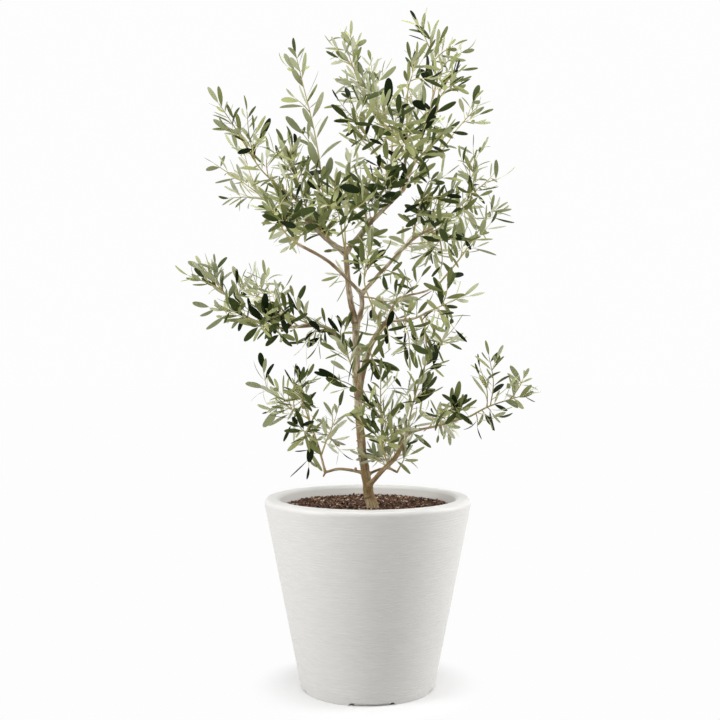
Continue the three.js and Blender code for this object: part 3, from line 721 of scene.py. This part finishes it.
# Paler bark just above the mix: painted light, standing for light thrown up from the mix and the planter's
# rim.
painted_bounce_foot_bark = bark_finish.blend(patches.between(0.36, 0.64), "#b49768", "#d8c49d")
old_bark = bark_finish.blend(patches.between(0.36, 0.64), "#947a50", "#bda782")
young_bark = bark_finish.blend(patches.between(0.38, 0.62), "#88745a", "#cfc2ac")
old_bark_and_painted_foot_light = bark_finish.blend(up_plant.between(0.44, 0.50), painted_bounce_foot_bark, old_bark)
greyed = bark_finish.blend(up_plant.between(0.50, 0.80), old_bark_and_painted_foot_light, young_bark)
streaked = bark_finish.blend(fibre.between(0.30, 0.62), "#725d3c", greyed)
scarred = bark_finish.blend(scars.between(0.64, 0.76) * 0.6, streaked, "#7a5838")
ring_marks = ring_scar * patches.between(0.36, 0.56) * 0.8
bark_finish.give(base_color=bark_finish.blend(ring_marks, scarred, "#5d4426"))
bark_finish.bump(fibre + scars.between(0.6, 0.75) * 0.5, 0.0003)

(limb_points, limb_faces), limb_stations = build_limbs(np.random.default_rng(11))
bark_mesh = remeshed(limb_points, limb_faces, VOXEL)
dress_bark(bark_mesh, limb_stations)
bark_mesh.name = "trunk_and_boughs"
bark = make_piece("trunk_and_boughs", bark_mesh, bark_finish)
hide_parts("trunk", *LIMBS)

# ---- Sprays ------------------------------------------------------------------------------------
# Sprays grow at the end of each bough and along it: thin green-tan stems with side shoots and short
# twigs. Leaves stand on them in opposite pairs, a quarter turn apart: narrow, leathery and slightly
# curled, grey-green to dark green above and silvery below.

# Each spray, in millimetres: the limb it grows on, how far along, its stem's way, and its side
# shoots, each as how far along the stem it starts and where it ends.
SPRAYS = {
    "upper_middle_spray": ("top_back_bough", 1, [(5, 200, 1480), (-30, 235, 1570), (-55, 265, 1745)],
        [(0.15, 15, 305, 1610), (0.72, -120, 230, 1680), (0.6, -85, 270, 1735), (0.1, 0, 240, 1650),
         (0.2, -15, 270, 1615), (0.45, -85, 215, 1570)]),
    "middle_left_spray": ("top_back_bough", 0.35, [(15, 95, 1345), (-15, 50, 1385), (-75, -5, 1390)],
        [(0.5, -60, 90, 1510), (0.62, -95, -20, 1470), (0.35, -35, -20, 1380)]),
    "top_front_spray": ("top_front_bough", 1, [(95, -110, 1440), (105, -130, 1475), (110, -150, 1515)],
        [(0.4, 85, -170, 1470), (0.5, 170, -75, 1485), (0.25, 135, -75, 1445), (0.7, 95, -145, 1545)]),
    "top_spray": ("top_right_bough", 1, [(165, 125, 1595), (160, 130, 1690)],
        [(0.1, 290, 140, 1640), (0.6, 115, 105, 1700), (0.7, 175, 105, 1685), (0.25, 175, 65, 1605),
         (0.05, 275, 65, 1550), (0.35, 255, 105, 1640), (0.02, 190, 65, 1540)]),
    "right_top_spray": ("top_right_bough", 0.35, [(185, 160, 1345), (240, 230, 1425), (320, 270, 1520)],
        [(0.3, 225, 175, 1465)]),
    "right_dark_spray": ("top_right_bough", 0.68, [(175, 50, 1430), (180, 10, 1480), (250, -40, 1530)],
        [(0.5, 225, -105, 1480), (0.3, 135, -50, 1415)]),
    "upper_left_long_spray": ("upper_left_bough", 1,
        [(-175, -75, 1190), (-250, -125, 1250), (-310, -165, 1345), (-365, -200, 1425)],
        [(0.55, -280, -225, 1405), (0.7, -360, -185, 1360), (0.45, -235, -160, 1325),
         (0.55, -325, -200, 1390)]),
    "left_shoulder_spray": ("upper_left_bough", 0.85,
        [(-215, 20, 1165), (-290, 70, 1235), (-430, 130, 1335)],
        [(0.55, -395, 90, 1220), (0.6, -335, 130, 1380), (0.2, -255, 90, 1280), (0.25, -215, -50, 1240)]),
    "tall_left_spray": ("upper_left_bough", 0.6,
        [(-115, 10, 1255), (-135, 55, 1380), (-165, 80, 1505), (-195, 95, 1630)],
        [(0.6, -215, 75, 1500), (0.35, -195, 65, 1420), (0.8, -235, 90, 1580)]),
    "middle_back_spray": ("left_stem", 0.97, [(-60, 130, 1180), (-55, 240, 1285), (-45, 330, 1390)],
        [(0.5, -135, 355, 1245), (0.5, 10, 340, 1330)]),
    "middle_front_spray": ("left_stem", 0.94, [(-65, -105, 1130), (-75, -200, 1175), (-70, -290, 1225)],
        [(0.5, -100, -295, 1145), (0.3, 5, -280, 1165)]),
    "left_front_spray": ("crossing_bough", 1,
        [(-190, -220, 1095), (-200, -290, 1120), (-220, -345, 1145)],
        [(0.4, -145, -325, 1140), (0.3, -125, -240, 1135), (0.4, -165, -335, 1110)]),
    "right_long_spray": ("right_bough", 1, [(245, 160, 1210), (295, 185, 1260), (345, 210, 1295)],
        [(0.5, 285, 215, 1410), (0.3, 300, 240, 1185), (0.35, 260, 120, 1140), (0.5, 290, 145, 1170),
         (0.1, 200, 90, 1155), (0.25, 240, 90, 1215), (0.45, 265, 175, 1380), (0.8, 360, 255, 1325),
         (0.75, 345, 160, 1250), (0.2, 220, 90, 1180), (0.4, 270, 90, 1215), (0.55, 300, 90, 1205)]),
    "right_inner_spray": ("right_bough", 0.66, [(125, 30, 1170), (145, -40, 1230), (170, -90, 1255)],
        [(0.1, 100, -20, 1165), (0.4, 135, -115, 1200), (0.5, 190, -145, 1170), (0.3, 165, -60, 1150)]),
    "right_back_spray": ("right_bough", 0.4, [(105, 160, 1105), (170, 255, 1125), (205, 340, 1170)],
        [(0.5, 235, 365, 1195), (0.5, 215, 340, 1100)]),
    "right_low_spray": ("right_low_bough", 1, [(175, -180, 930), (195, -200, 935)],
        [(0.3, 155, -255, 875), (0.4, 190, -240, 1005), (0.5, 190, -160, 895), (0.2, 150, -200, 890)]),
    "inner_front_spray": ("front_right_limb", 0.9, [(-5, -150, 970), (-5, -190, 1020), (20, -220, 1095)],
        [(0.45, 15, -250, 1045)]),
    "right_rising_spray": ("right_rising_bough", 1, [(245, 95, 1075), (315, 140, 1180), (365, 160, 1220)],
        [(0.4, 230, 35, 1140), (0.3, 250, 175, 1130), (0.12, 225, 65, 1005)]),
    "left_low_spray": ("left_low_bough", 1, [(-310, 65, 915), (-370, 35, 980), (-485, 10, 1030)],
        [(0.45, -450, 90, 1075), (0.35, -385, -50, 930), (0.3, -375, 35, 900), (0.3, -395, 90, 945),
         (0.4, -320, 90, 1050), (0.62, -410, 65, 1065), (0.12, -350, 35, 970)]),
    "left_upper_back_spray": ("left_low_bough", 0.85,
        [(-250, 160, 950), (-295, 230, 1000), (-330, 270, 1075)],
        [(0.3, -205, 215, 1030), (0.4, -355, 295, 990)]),
    "left_inner_spray": ("left_low_bough", 0.7, [(-175, -5, 905), (-200, -55, 920), (-230, -105, 945)],
        [(0.5, -245, -145, 900)]),
    "left_hanging_spray": ("left_low_bough", 0.95, [(-240, 10, 885), (-255, -60, 885), (-275, -130, 880)],
        [(0.4, -245, -160, 925)]),
    "lowest_left_spray": ("lowest_left_riser", 1, [(-200, 90, 680), (-260, 125, 725), (-310, 145, 735)],
        [(0.3, -215, 120, 765), (0.4, -245, 200, 705), (0.3, -250, 90, 685), (0.2, -215, 65, 600),
         (0.25, -185, 65, 800)]),
    "lowest_left_upper_spray": ("lowest_left_riser", 0.85,
        [(-160, -5, 700), (-165, -55, 735), (-170, -95, 775)],
        [(0.4, -195, -75, 740), (0.4, -155, -115, 670)]),
    "lowest_left_front_spray": ("lowest_left_riser", 0.5,
        [(-145, -60, 625), (-150, -125, 620), (-155, -170, 600)],
        [(0.3, -115, -130, 585), (0.4, -170, -200, 665)]),
    "lowest_left_back_spray": ("lowest_left_riser", 0.3,
        [(-105, 120, 600), (-95, 185, 625), (-95, 255, 685)],
        [(0.4, -80, 215, 570)]),
    "right_center_spray": ("lowest_right_bough", 1, [(110, -35, 695), (130, -75, 770), (155, -105, 840)],
        [(0.8, 235, -50, 915), (0.35, 160, -75, 770), (0.2, 130, -115, 790)]),
    "lowest_right_spray": ("lowest_right_arm", 1, [(310, 75, 685), (375, 90, 705), (450, 100, 725)],
        [(0.35, 305, 50, 855), (0.6, 425, 130, 785), (0.1, 280, 35, 595), (0.3, 280, 90, 825),
         (0.3, 340, 65, 640), (0.2, 320, 90, 645)]),
    "arm_front_spray": ("lowest_right_arm", 0.6, [(205, -50, 685), (220, -125, 715)],
        [(0.3, 235, -145, 690)]),
    "arm_back_spray": ("lowest_right_arm", 0.35, [(175, 130, 650), (210, 215, 630), (245, 285, 600)],
        [(0.4, 150, 215, 610)]),
    "low_front_spray": ("lowest_right_bough", 0.42, [(35, -125, 600), (30, -160, 700), (30, -190, 805)],
        [(0.3, 70, -240, 655), (0.55, -35, -270, 730), (0.4, 65, -160, 720), (0.6, 10, -200, 740),
         (0.35, 95, -130, 680), (0.35, -40, -225, 685), (0.5, 50, -75, 725)]),
    "low_right_spray": ("short_right_bough", 1, [(85, -75, 560), (95, -60, 580)],
        []),
    "yellow_shoot_spray": ("lowest_right_bough", 0.93,
        [(20, -110, 680), (-30, -145, 770), (-70, -165, 875)],
        [(0.5, -125, -200, 780), (0.6, -80, -170, 805), (0.3, -40, -145, 715)]),
    "upper_left_inner_spray": ("upper_left_bough", 0.92,
        [(-160, -20, 1210), (-185, 10, 1280), (-200, 15, 1375)],
        [(0.3, -120, -75, 1210), (0.5, -135, -60, 1300), (0.2, -210, -145, 1170), (0.6, -215, -75, 1360),
         (0.5, -235, 50, 1365), (0.45, -230, -50, 1320)]),
    "upper_center_front_spray": ("top_front_bough", 0.45,
        [(70, -95, 1330), (40, -160, 1370), (20, -200, 1425)],
        [(0.3, 130, -160, 1340), (0.45, 85, -240, 1385), (0.35, -5, -200, 1305), (0.5, -25, -160, 1355)]),
    "upper_center_back_spray": ("top_right_bough", 0.3,
        [(140, 185, 1390), (130, 255, 1480), (105, 295, 1580)],
        [(0.4, 210, 285, 1470), (0.3, 50, 310, 1445), (0.5, 60, 340, 1535)]),
    "right_middle_spray": ("right_bough", 0.9, [(180, 65, 1115), (185, 10, 1060), (175, -50, 995)],
        [(0.3, 230, -50, 1095), (0.4, 115, -35, 1045), (0.1, 220, 20, 1165)]),
    "center_low_spray": ("right_stem", 0.9, [(25, 35, 955), (60, 90, 935), (95, 130, 885)],
        [(0.4, 115, 130, 960), (0.4, 20, 175, 855), (0.2, 10, 90, 910)]),
}
# Leafy shoots that stand straight on the boughs, each as how far along it starts and where it ends.
LIMB_SHOOTS = {
    "upper_right_bough":
        [(0.45, -20, -75, 1235), (0.55, -35, 50, 1305), (0.6, 10, -60, 1285), (0.8, 45, -35, 1335),
         (0.3, 50, -50, 1105), (0.5, -45, -50, 1265), (0.62, -5, -75, 1250), (0.75, 25, -90, 1295),
         (0.2, 25, -60, 1065), (0.95, 140, -75, 1275), (0.95, 110, -20, 1240)],
    "top_back_bough": [(0.5, 10, 175, 1310), (0.4, -10, 90, 1320)],
    "top_front_bough": [(0.3, 60, -90, 1280), (0.5, 130, -115, 1300)],
    "top_right_bough":
        [(0.15, 155, 10, 1305), (0.3, 190, -20, 1360), (0.4, 145, -75, 1400), (0.25, 155, -60, 1320),
         (0.6, 195, 35, 1375), (0.85, 155, 35, 1540)],
    "upper_left_bough":
        [(0.5, -130, -75, 1290), (0.9, -245, -145, 1230), (0.8, -215, -105, 1055),
         (0.1, -110, -50, 1070), (0.35, -140, -20, 1180), (0.5, -120, 20, 1185),
         (0.45, -120, -115, 1175), (0.5, -155, -90, 1165), (0.75, -205, -75, 1205),
         (0.55, -125, -130, 1145), (0.65, -90, -35, 1200), (0.8, -225, -115, 1200), (0.7, -175, -35, 1235)],
    "right_bough":
        [(0.3, 80, -75, 1000), (0.9, 230, 35, 1270), (0.8, 185, -50, 1240), (0.75, 145, 35, 1105)],
    "right_rising_bough":
        [(0.5, 85, -75, 1030), (0.3, 65, -60, 1005), (0.1, 60, -20, 945), (0.3, 115, 10, 935),
         (0.2, 80, -75, 950), (0.4, 105, -50, 980), (0.85, 160, 35, 940)],
    "right_low_bough":
        [(0.3, 105, -160, 775), (0.75, 135, -185, 750), (0.85, 180, -160, 790), (0.4, 90, -200, 855),
         (0.3, 110, -170, 930), (0.7, 140, -200, 795), (0.6, 115, -170, 950), (0.9, 160, -145, 875)],
    "front_right_limb":
        [(0.35, 45, -145, 790), (0.5, 20, -160, 770), (0.85, 15, -145, 890), (0.95, 55, -170, 820)],
    "left_low_bough":
        [(0.2, -60, -60, 910), (0.95, -290, -20, 940), (0.4, -130, -75, 860), (0.3, -95, -20, 925),
         (0.75, -175, 65, 960), (0.45, -115, 35, 920), (0.5, -110, 50, 865), (0.65, -165, 35, 860),
         (0.7, -160, 90, 910), (0.6, -145, -35, 855), (0.75, -200, -5, 990)],
    "lowest_right_bough":
        [(0.8, 115, -75, 610), (0.35, 5, 20, 580), (0.5, 35, 35, 585), (0.6, 50, 35, 615),
         (1.0, 130, -20, 685), (0.95, 100, 35, 695), (0.9, 60, -75, 650), (1.0, 80, -60, 680),
         (0.9, 130, -50, 645), (0.75, 135, -35, 620)],
    "short_right_bough": [(0.5, 60, 35, 585)],
    "lowest_right_arm": [(0.05, 95, -60, 595), (0.05, 135, -75, 615), (0.8, 240, 65, 700)],
    "lowest_left_riser": [(0.35, -140, 10, 580), (0.9, -165, 90, 790)],
    "crossing_bough": [(0.3, -90, -75, 1000), (0.2, -70, -50, 995)],
}
# How far up a stem its first leaves stand, where that is further than usual.
BARE_STEMS = {"yellow_shoot_spray": 0.75, "right_top_spray": 0.75, "left_front_spray": 0.5,
              "middle_front_spray": 0.4, "top_front_spray": 0.5, "low_front_spray": 0.3,
              "right_rising_spray": 0.4, "right_dark_spray": 0.55, "inner_front_spray": 0.45}
# Strong young stems grow no twigs, and longer leaves further apart.
STRONG_STEMS = {"tall_left_spray": 1.25}
# Each kind of axis: its piece, its radii at foot and tip, and how much of it stays bare of leaves.
STEM = {"piece": "spray_stems", "radii": (2.5, 1.0), "bare": 0.2}
SHOOT = {"piece": "spray_stems", "radii": (1.6, 0.8), "bare": 0.15, "bow": (0.45, 0.08)}
TWIG = {"piece": "twigs", "radii": (1.15, 0.65), "bare": 0.25, "bow": 0.16,
        "spacing": 84.0, "first": 0.12, "last": 0.87, "length": 58.0, "angle": 0.85, "lift": 0.25}
LEAF = {"length": 53.0, "slimness": 0.2, "spacing": 23.4, "angle": 0.75, "missing": 0.2, "past_tip": 0.8}
# Tints of leaves: above, below, how broad they grow, and the draw from 0 to 1 that they reach up to.
TINTS = {"deep": ("#172209", "#909670", 1.35, 0.10), "dark": ("#3f4a24", "#a6aa81", 1.15, 0.37),
         "mid": ("#6f7546", "#bbbe99", 1.0, 0.7), "light": ("#9ca06d", "#d3d5b9", 0.92, 1.0)}
SEEDS = {"sprays": 101, "limb_shoots": 401, "tints": 700}
AXIS_STEP = 9.0
AXIS_SIDES = 6
UP = np.array((0.0, 0.0, 1.0))
ACROSS = np.array((0.28, 0.96, 0.0))


def seeded(seed):
    """Random numbers from 0 to 1, the same on every run."""
    state = seed
    whole = 0xFFFFFFFF

    def draw():
        nonlocal state
        state = (state + 0x6D2B79F5) & whole
        t = ((state ^ (state >> 15)) * (state | 1)) & whole
        t = (t ^ (t + ((t ^ (t >> 7)) * (t | 61) & whole))) & whole
        return ((t ^ (t >> 14)) & whole) / (whole + 1)

    return draw


def leaving(along, turn, angle):
    """A direction that leaves an axis at an angle, turned round it."""
    base = unit(np.cross(along, ACROSS if abs(along[2]) > 0.9 else UP))
    return along * math.cos(angle) + turned(base, along, turn) * math.sin(angle)


def before_tip(previous, end):
    """The end of an axis, drawn back so that its tip leaf ends where the axis is meant to reach."""
    last = end - previous
    length = np.linalg.norm(last)
    return previous + last / length * max(length - LEAF["length"] * LEAF["past_tip"], length * 0.3)


def stem_course(host, share, way):
    """A spray's stem, from its place on a limb."""
    points = [limb_courses[host](share)[0], *(np.array(p, float) for p in way)]
    points[-1] = before_tip(points[-2], points[-1])
    return course(points)


def shoot_course(host, share, tip):
    """A side shoot that leaves its host with a slight bow."""
    start = host(share)[0]
    end = before_tip(start, np.array(tip, float))
    along, aside = SHOOT["bow"]
    bow = heading(host, share) * np.linalg.norm(end - start) * aside
    return course([start, start + along * (end - start) + bow, end])


def course_length(at):
    return float(np.linalg.norm(np.diff(at(np.linspace(0, 1, 60)), axis=0), axis=1).sum())


def twig_courses(at, bare, random):
    """Short twigs leave an axis crosswise, a quarter turn apart, shorter towards its tip."""
    first = TWIG["first"] if bare <= STEM["bare"] else bare
    count = round(course_length(at) / TWIG["spacing"])
    twigs = []
    turn = random() * math.pi
    for i in range(count):
        share = first + (TWIG["last"] - first) * (i + random() * 0.6) / count
        along = leaving(heading(at, share), turn, TWIG["angle"] * (0.8 + 0.4 * random()))
        along = unit(along + UP * TWIG["lift"])
        length = TWIG["length"] * (1.15 - 0.5 * share) * (0.55 + 0.8 * random())
        start = at(share)[0]
        bow = (random() - 0.5) * TWIG["bow"] * length
        twigs.append(course([start, start + along * length * 0.5 + UP * bow, start + along * length]))
        turn += math.pi * (0.5 + 0.35 * (random() - 0.5))
    return twigs


def leaf_places(at, bare, random, strong):
    """Opposite pairs of leaves along an axis, a quarter turn apart, and one at the tip."""
    length = course_length(at)
    pairs = max(1, round(length * (1 - bare) / (LEAF["spacing"] * strong)))
    places = []
    turn = random() * math.pi
    for i in range(pairs):
        share = bare + (1 - bare) * (i + 0.6) / (pairs + 0.4)
        tangent = heading(at, share)
        young = 1 - 0.2 * max(0.0, (share - 0.75) * 4)
        for half in (0, math.pi):
            skip, spread, yaw, roll, grow = (random() for _ in range(5))
            if skip < LEAF["missing"]:
                continue
            angle = LEAF["angle"] * (0.7 + 0.75 * spread) * (0.75 + 0.25 * young)
            along = unit(leaving(tangent, turn + half + 0.5 * (yaw - 0.5), angle) + UP * 0.05)
            face = unit(np.dot(tangent, along) * along - tangent) * -1
            face = turned(face, along, 1.5 * (roll - 0.5))
            places.append((at(share)[0], along, face, (0.72 + 0.5 * grow) * young * strong))
        turn += math.pi / 2
    tangent = heading(at, 1.0)
    face = leaving(tangent, random() * math.pi, math.pi / 2)
    places.append((at(1.0)[0] - tangent, tangent, face, 0.6 + 0.3 * random()))
    return places


# A leaf's half breadth at stations from its foot to its tip, each as a share of the greatest.
LEAF_STATIONS = np.array([0.0, 0.07, 0.18, 0.33, 0.50, 0.67, 0.84, 0.95, 1.0])
LEAF_SHAPE = np.array([0.05, 0.08, 0.44, 0.79, 1.0, 0.99, 0.80, 0.50, 0.07])
LEAF_SPREAD = {"breadth": (0.75, 1.3), "bend": (0.25, 0.35), "sweep": (0.0, 0.16), "fold": (-0.08, 0.16)}
LEAST_BEND = 0.02
MIDRIB = {"above": 0.00016, "below": 0.0004}


def leaf_skins(places, breadth, rng):
    """The upper and under skins of many leaves, each three points wide with a midrib."""
    root, along, face, size = (np.array(column, float) for column in zip(*places))
    count = len(size)
    side = np.cross(face, along)
    length = LEAF["length"] * size[:, None] * MM
    half = length * LEAF["slimness"] / 2 * breadth * rng.uniform(*LEAF_SPREAD["breadth"], (count, 1))
    bend, sweep, fold = (rng.normal(*LEAF_SPREAD[kind], (count, 1)) for kind in ("bend", "sweep", "fold"))
    bend = np.where(np.abs(bend) < LEAST_BEND, LEAST_BEND, bend)
    t = LEAF_STATIONS[None, :]
    turn = bend * t
    forward = length * np.sin(turn) / bend
    fall = length * (1 - np.cos(turn)) / bend
    aside = length * sweep * t ** 2 * 0.5
    middle = (root[:, None] * MM + forward[..., None] * along[:, None]
              - fall[..., None] * face[:, None] + aside[..., None] * side[:, None])
    up = np.cos(turn)[..., None] * face[:, None] + np.sin(turn)[..., None] * along[:, None]
    width = half * LEAF_SHAPE[None, :]
    rim = width[..., None] * (np.cos(fold)[..., None] * side[:, None])
    droop = (width * np.sin(fold))[..., None] * up
    skins = []
    for level in (MIDRIB["above"], -MIDRIB["below"]):
        rows = np.stack([middle - rim + droop, middle + up * level, middle + rim + droop], axis=2)
        skins.append(rows.reshape(-1, 3))
    stations = len(LEAF_STATIONS)
    corners = np.array([3 * k + j for k in range(stations - 1) for j in range(2)])
    leaf_quads = corners[:, None] + (0, 1, 4, 3)
    first_points = np.arange(count) * 3 * stations
    return skins, (first_points[:, None, None] + leaf_quads).reshape(-1, 4)


def grow(axes, seed, strong=1.0):
    """The axes with their twigs, and the places of all the leaves on them."""
    random = seeded(seed)
    if strong == 1.0:
        for at, _, bare in list(axes):
            axes += [(twig, TWIG, TWIG["bare"]) for twig in twig_courses(at, bare, random)]
    leaves = []
    for at, _, bare in axes:
        leaves += leaf_places(at, bare, random, strong)
    return axes, leaves


def shoot_axes(host, shoots):
    """The side shoots of a stem or limb, each with its kind and how much of it stays bare."""
    return [(shoot_course(host, share, tip), SHOOT, SHOOT["bare"]) for share, *tip in shoots]


grown = []
for index, (name, (host, share, way, shoots)) in enumerate(SPRAYS.items()):
    stem = stem_course(host, share, way)
    axes = [(stem, STEM, BARE_STEMS.get(name, STEM["bare"])), *shoot_axes(stem, shoots)]
    grown.append(grow(axes, SEEDS["sprays"] + index, STRONG_STEMS.get(name, 1.0)))
for index, (host, shoots) in enumerate(LIMB_SHOOTS.items()):
    grown.append(grow(shoot_axes(limb_courses[host], shoots), SEEDS["limb_shoots"] + index))

tubes = {"spray_stems": [], "twigs": []}
dealt = {tint: [] for tint in TINTS}
for index, (axes, leaves) in enumerate(grown):
    for at, kind, _ in axes:
        line, run, directions = measured(at, AXIS_STEP)
        radii = np.interp(run, (0, run[-1]), kind["radii"])
        tubes[kind["piece"]].append(tube(line * MM, directions, radii * MM, AXIS_SIDES))
    deal = seeded(SEEDS["tints"] + index)
    for leaf in leaves:
        draw = deal()
        dealt[next(tint for tint, row in TINTS.items() if draw < row[-1])].append(leaf)

for name, tint in (("spray_stems", "#a39562"), ("twigs", "#cdc68e")):
    finish = Finish(name, tint, 0.7, specular_ior_level=0.3)
    make_piece(name, new_mesh(name, *join_tubes(tubes[name])), finish)

leaf_rng = np.random.default_rng(23)
for tint, places in dealt.items():
    above, below, breadth, _ = TINTS[tint]
    (upper, under), quads = leaf_skins(places, breadth, leaf_rng)
    top_name, under_name = f"leaf_tops_{tint}", f"leaf_undersides_{tint}"
    top_finish = Finish(top_name, above, 0.55, specular_ior_level=0.06)
    tops = make_piece(top_name, new_mesh(top_name, upper, quads), top_finish)
    under_finish = Finish(under_name, below, 0.8, specular_ior_level=0.2)
    make_piece(under_name, new_mesh(under_name, under, quads[:, ::-1]), under_finish)
    if tint == "mid":  # the commonest leaves stand for the solids of all the sprays
        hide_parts(*SPRAYS)

# ---- Floor and light ---------------------------------------------------------------------------
# A plain pale floor that runs out into a white surround, lit by broad soft lights from both sides and from
# above. Close round the planter's foot it takes real shadow on a pale base colour, and its glow is dimmed
# there as a painted contact shadow; under the planter the glow is black, painted shade. Further out it only
# glows.

FLOOR_REACH = 30.0
FLOOR_SIDES = 64
FLOOR_DROP = 0.0002
WHITE = 0.985  # the surround, as it is seen
AMBIENT = 0.045  # the surround, as it lights matt surfaces

floor_finish = Finish("studio_white", "#ffffff", 1.0, specular_ior_level=0.0, emission_strength=1.0)
floor_away = floor_finish.from_middle()
# Near the foot the floor's glow is dimmed, a painted contact shadow, while its pale base colour there takes
# real shadow.
real_and_painted_shadow_fade = floor_away.between(0.17, 0.30)
# Under the planter the glow is black, painted shade, rising to grey at the foot's edge.
painted_shade_under_pot = floor_finish.blend(floor_away.between(0.156, 0.168), "#000000", "#8e8e8e")
floor_finish.give(base_color=floor_finish.blend(real_and_painted_shadow_fade, "#d8d8d8", "#000000"),
                  emission_color=floor_finish.blend(real_and_painted_shadow_fade, painted_shade_under_pot, "#fdfdfd"))
floor_turn = np.linspace(0, 2 * np.pi, FLOOR_SIDES, endpoint=False)
floor_x, floor_y = FLOOR_REACH * np.cos(floor_turn), FLOOR_REACH * np.sin(floor_turn)
floor_points = np.stack([floor_x, floor_y, np.full(FLOOR_SIDES, -FLOOR_DROP)], axis=1)
floor_mesh = new_mesh("studio_floor", floor_points, [range(FLOOR_SIDES)])
floor_mesh.materials.append(floor_finish.material)
studio_floor = bpy.data.objects.new("studio_floor", floor_mesh)
bpy.context.collection.objects.link(studio_floor)

world = bpy.data.worlds.new("studio")
world.use_nodes = True
surround = Nodes(world.node_tree)
background = surround.tree.nodes["Background"]
lighting = surround.node("ShaderNodeLightPath", output="Is Diffuse Ray")
strength = surround.node("ShaderNodeMapRange", None, {"Value": lighting, "To Min": WHITE, "To Max": AMBIENT})
surround.feed(background.inputs["Color"], "#ffffff")
surround.feed(background.inputs["Strength"], strength)
bpy.context.scene.world = world


def softbox(name, place, aim, size, power):
    """A broad rectangular light turned towards a point."""
    data = bpy.data.lights.new(name, "AREA")
    data.shape = "RECTANGLE"
    data.size, data.size_y = size
    data.energy = power
    lamp = bpy.data.objects.new(name, data)
    lamp.location = place
    lamp.rotation_mode = "QUATERNION"
    lamp.rotation_quaternion = (Vector(aim) - Vector(place)).to_track_quat("-Z", "Y")
    bpy.context.collection.objects.link(lamp)


softbox("left_softbox", (-2.35, -1.2, 1.5), (0.0, 0.0, 0.8), (1.4, 2.4), 53.5)
softbox("right_softbox", (2.65, 0.15, 1.4), (0.0, 0.0, 0.8), (1.4, 2.4), 59.5)
softbox("top_softbox", (0.0, -0.2, 3.3), (0.0, 0.0, 0.9), (2.6, 2.6), 100.0)
